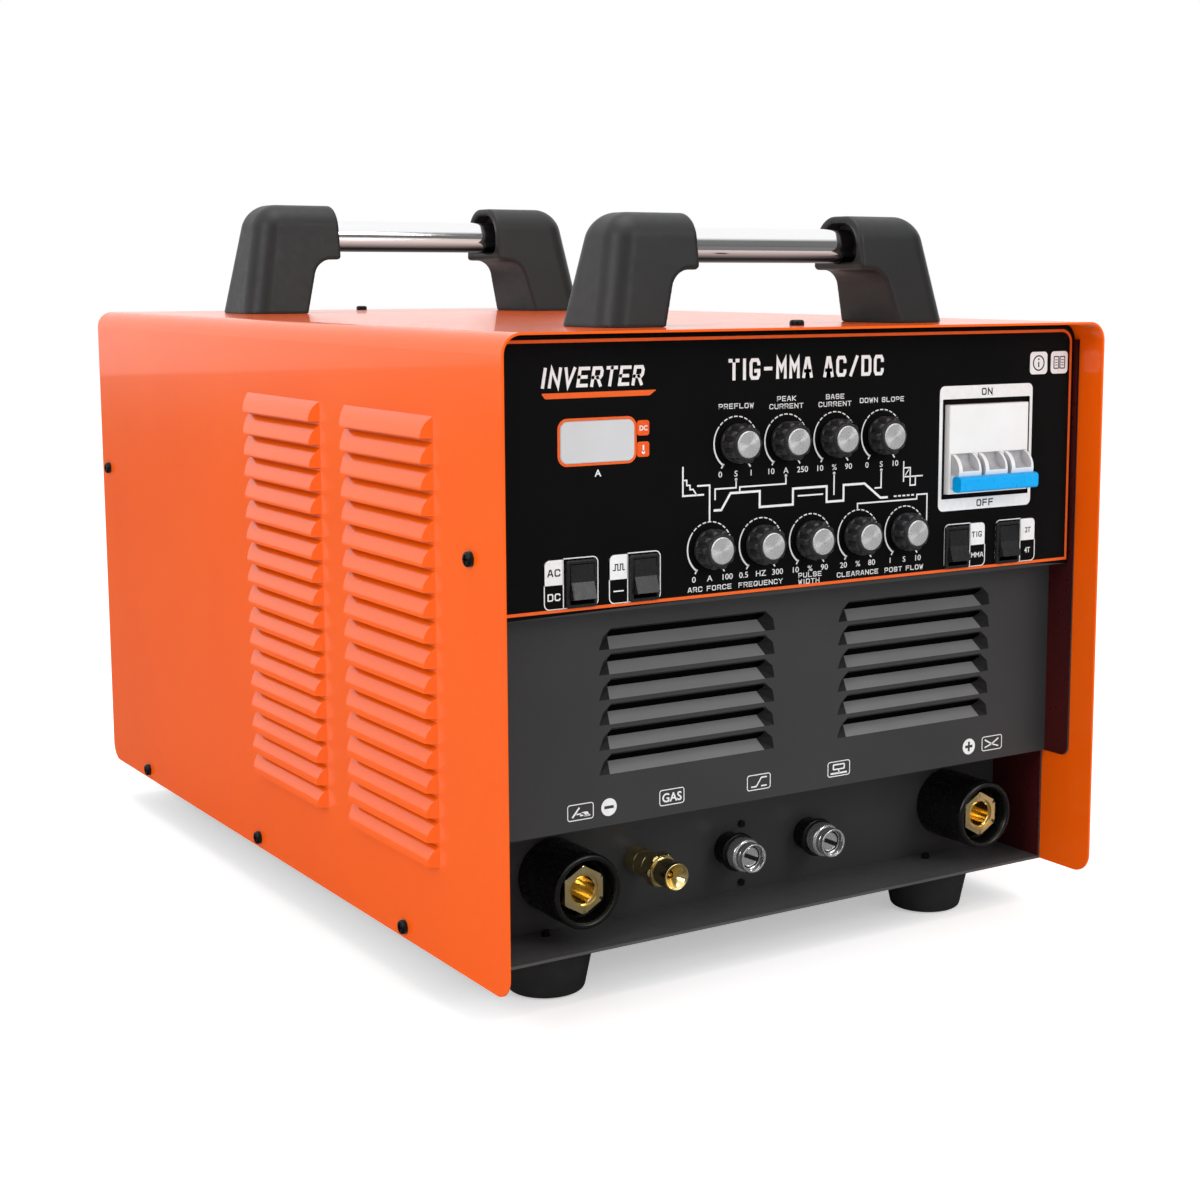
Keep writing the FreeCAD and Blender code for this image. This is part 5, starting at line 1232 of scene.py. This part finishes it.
def carried_over():
    finish_node("cover", "orange")
    finish_node("base_pan", "pan")
    paint_panel()
    paint_levers()
    finish_node("front_overlay", "overlay", 0.15)
    finish_node("rear_panel", "chassis")
    finish_node("casing_screws", "screw")
    finish_node("socket_screws", "screw")
    finish_node("handle_bolts", "steel")
    finish_node("potentiometers", "steel")
    finish_node("rocker_switch_bodies", "rocker", 0.25)
    for name in ("ac_dc", "pulse", "mode", "trigger"):
        finish_node(name + "_rocker", "rocker", 0.3)
    finish_node("breaker_body", "white", 0.3)
    finish_node("breaker_tie_bar", "blue", 0.9, 3)
    finish_node("display_window", "display", 0.3)
    finish_node("indicator_lenses", "lamp", 0.25)
    finish_node("cable_gland", "socket", 0.3)
    finish_node("gas_inlet", "brass", 0.2)
    finish_node("fan_frame", "socket")
    finish_node("fan_rotor", "socket")
    for node, material in (("control_board", "board"), ("inverter_board", "board"), ("heatsinks", "sink"),
                           ("main_transformer", "copper"), ("output_inductor", "copper"),
                           ("filter_capacitors", "can"), ("gas_valve", "brass"), ("gas_hose", "hose")):
        finish_node(node, material)


# ---- stage -----------------------------------------------------------------------------------
def floor():
    mesh = bpy.data.meshes.new("studio_floor")
    bm = bmesh.new()
    bmesh.ops.create_grid(bm, x_segments=4, y_segments=4, size=6.0)
    bm.to_mesh(mesh)
    bm.free()
    obj = bpy.data.objects.new("studio_floor", mesh)
    scene.collection.objects.link(obj)
    mesh.materials.append(MAT["floor"])
    obj.location.z = -0.0005


def area_light(name, place, target, size, power, colour=(1, 1, 1), size_y=None):
    light = bpy.data.lights.new(name, "AREA")
    light.energy = power
    light.color = colour
    light.size = size
    if size_y:
        light.shape = "RECTANGLE"
        light.size_y = size_y
    obj = bpy.data.objects.new(name, light)
    scene.collection.objects.link(obj)
    obj.location = place
    obj.rotation_euler = (Vector(target) - Vector(place)).to_track_quat("-Z", "Y").to_euler()
    return obj


def lighting():
    world = bpy.data.worlds.new("studio")
    scene.world = world
    world.use_nodes = True
    tree = world.node_tree
    background = tree.nodes["Background"]

    def add(kind, **values):
        node = tree.nodes.new(kind)
        for key, value in values.items():
            setattr(node, key, value)
        return node

    def stretch(source, low, high):
        span = add("ShaderNodeMapRange")
        span.inputs["From Min"].default_value = low
        span.inputs["From Max"].default_value = high
        tree.links.new(source, span.inputs["Value"])
        return span.outputs["Result"]

    def combine(operation, first, second):
        node = add("ShaderNodeMath", operation=operation)
        for socket, value in zip(node.inputs, (first, second)):
            if isinstance(value, (int, float)):
                socket.default_value = value
            else:
                tree.links.new(value, socket)
        return node.outputs[0]

    split = add("ShaderNodeSeparateXYZ")
    tree.links.new(add("ShaderNodeTexCoord").outputs["Generated"], split.inputs["Vector"])
    back = stretch(split.outputs["Y"], -0.1, 0.3)
    overhead = stretch(split.outputs["Z"], 0.35, 0.6)
    seen = combine("MAXIMUM", combine("MAXIMUM", back, overhead), 0.16)
    path = add("ShaderNodeLightPath")
    polished = add("ShaderNodeMix")
    polished.inputs[2].default_value = SKY
    tree.links.new(path.outputs["Is Glossy Ray"], polished.inputs[0])
    tree.links.new(seen, polished.inputs[3])
    direct = add("ShaderNodeMix")
    direct.inputs[3].default_value = 1.0
    tree.links.new(path.outputs["Is Camera Ray"], direct.inputs[0])
    tree.links.new(polished.outputs[0], direct.inputs[2])
    tree.links.new(direct.outputs[0], background.inputs["Strength"])
    background.inputs["Color"].default_value = (1.0, 1.0, 1.0, 1.0)
    centre = (0.0, 0.0, 0.15)
    area_light("key_left", (-2.4, -0.9, 1.5), centre, 1.3, 20)
    area_light("front_fill", (0.9, -2.6, 1.5), centre, 1.0, 14)
    area_light("top_soft", (0.0, -0.1, 2.4), centre, 1.6, 16)


def camera():
    data = bpy.data.cameras.new("camera")
    data.sensor_width = 36.0
    data.lens = 60.33
    data.shift_x = -0.0611
    data.shift_y = -0.0362
    data.dof.use_dof = False
    obj = bpy.data.objects.new("camera", data)
    scene.collection.objects.link(obj)
    obj.location = (-0.6033, -1.0637, 0.3556)
    obj.rotation_euler = (math.radians(90 - 8.012), 0.0, math.radians(-33.198))
    scene.camera = obj


camera()
lighting()
floor()
carried_over()
overlay_print()
face_icons()
for knob_name in TOP_KNOBS + LOW_KNOBS:
    knob_piece(knob_name)
feet()
output_sockets()
gas_fitting()
control_sockets()
grips()
moulded_handles()
vent_shade_pads()
wire_guard()
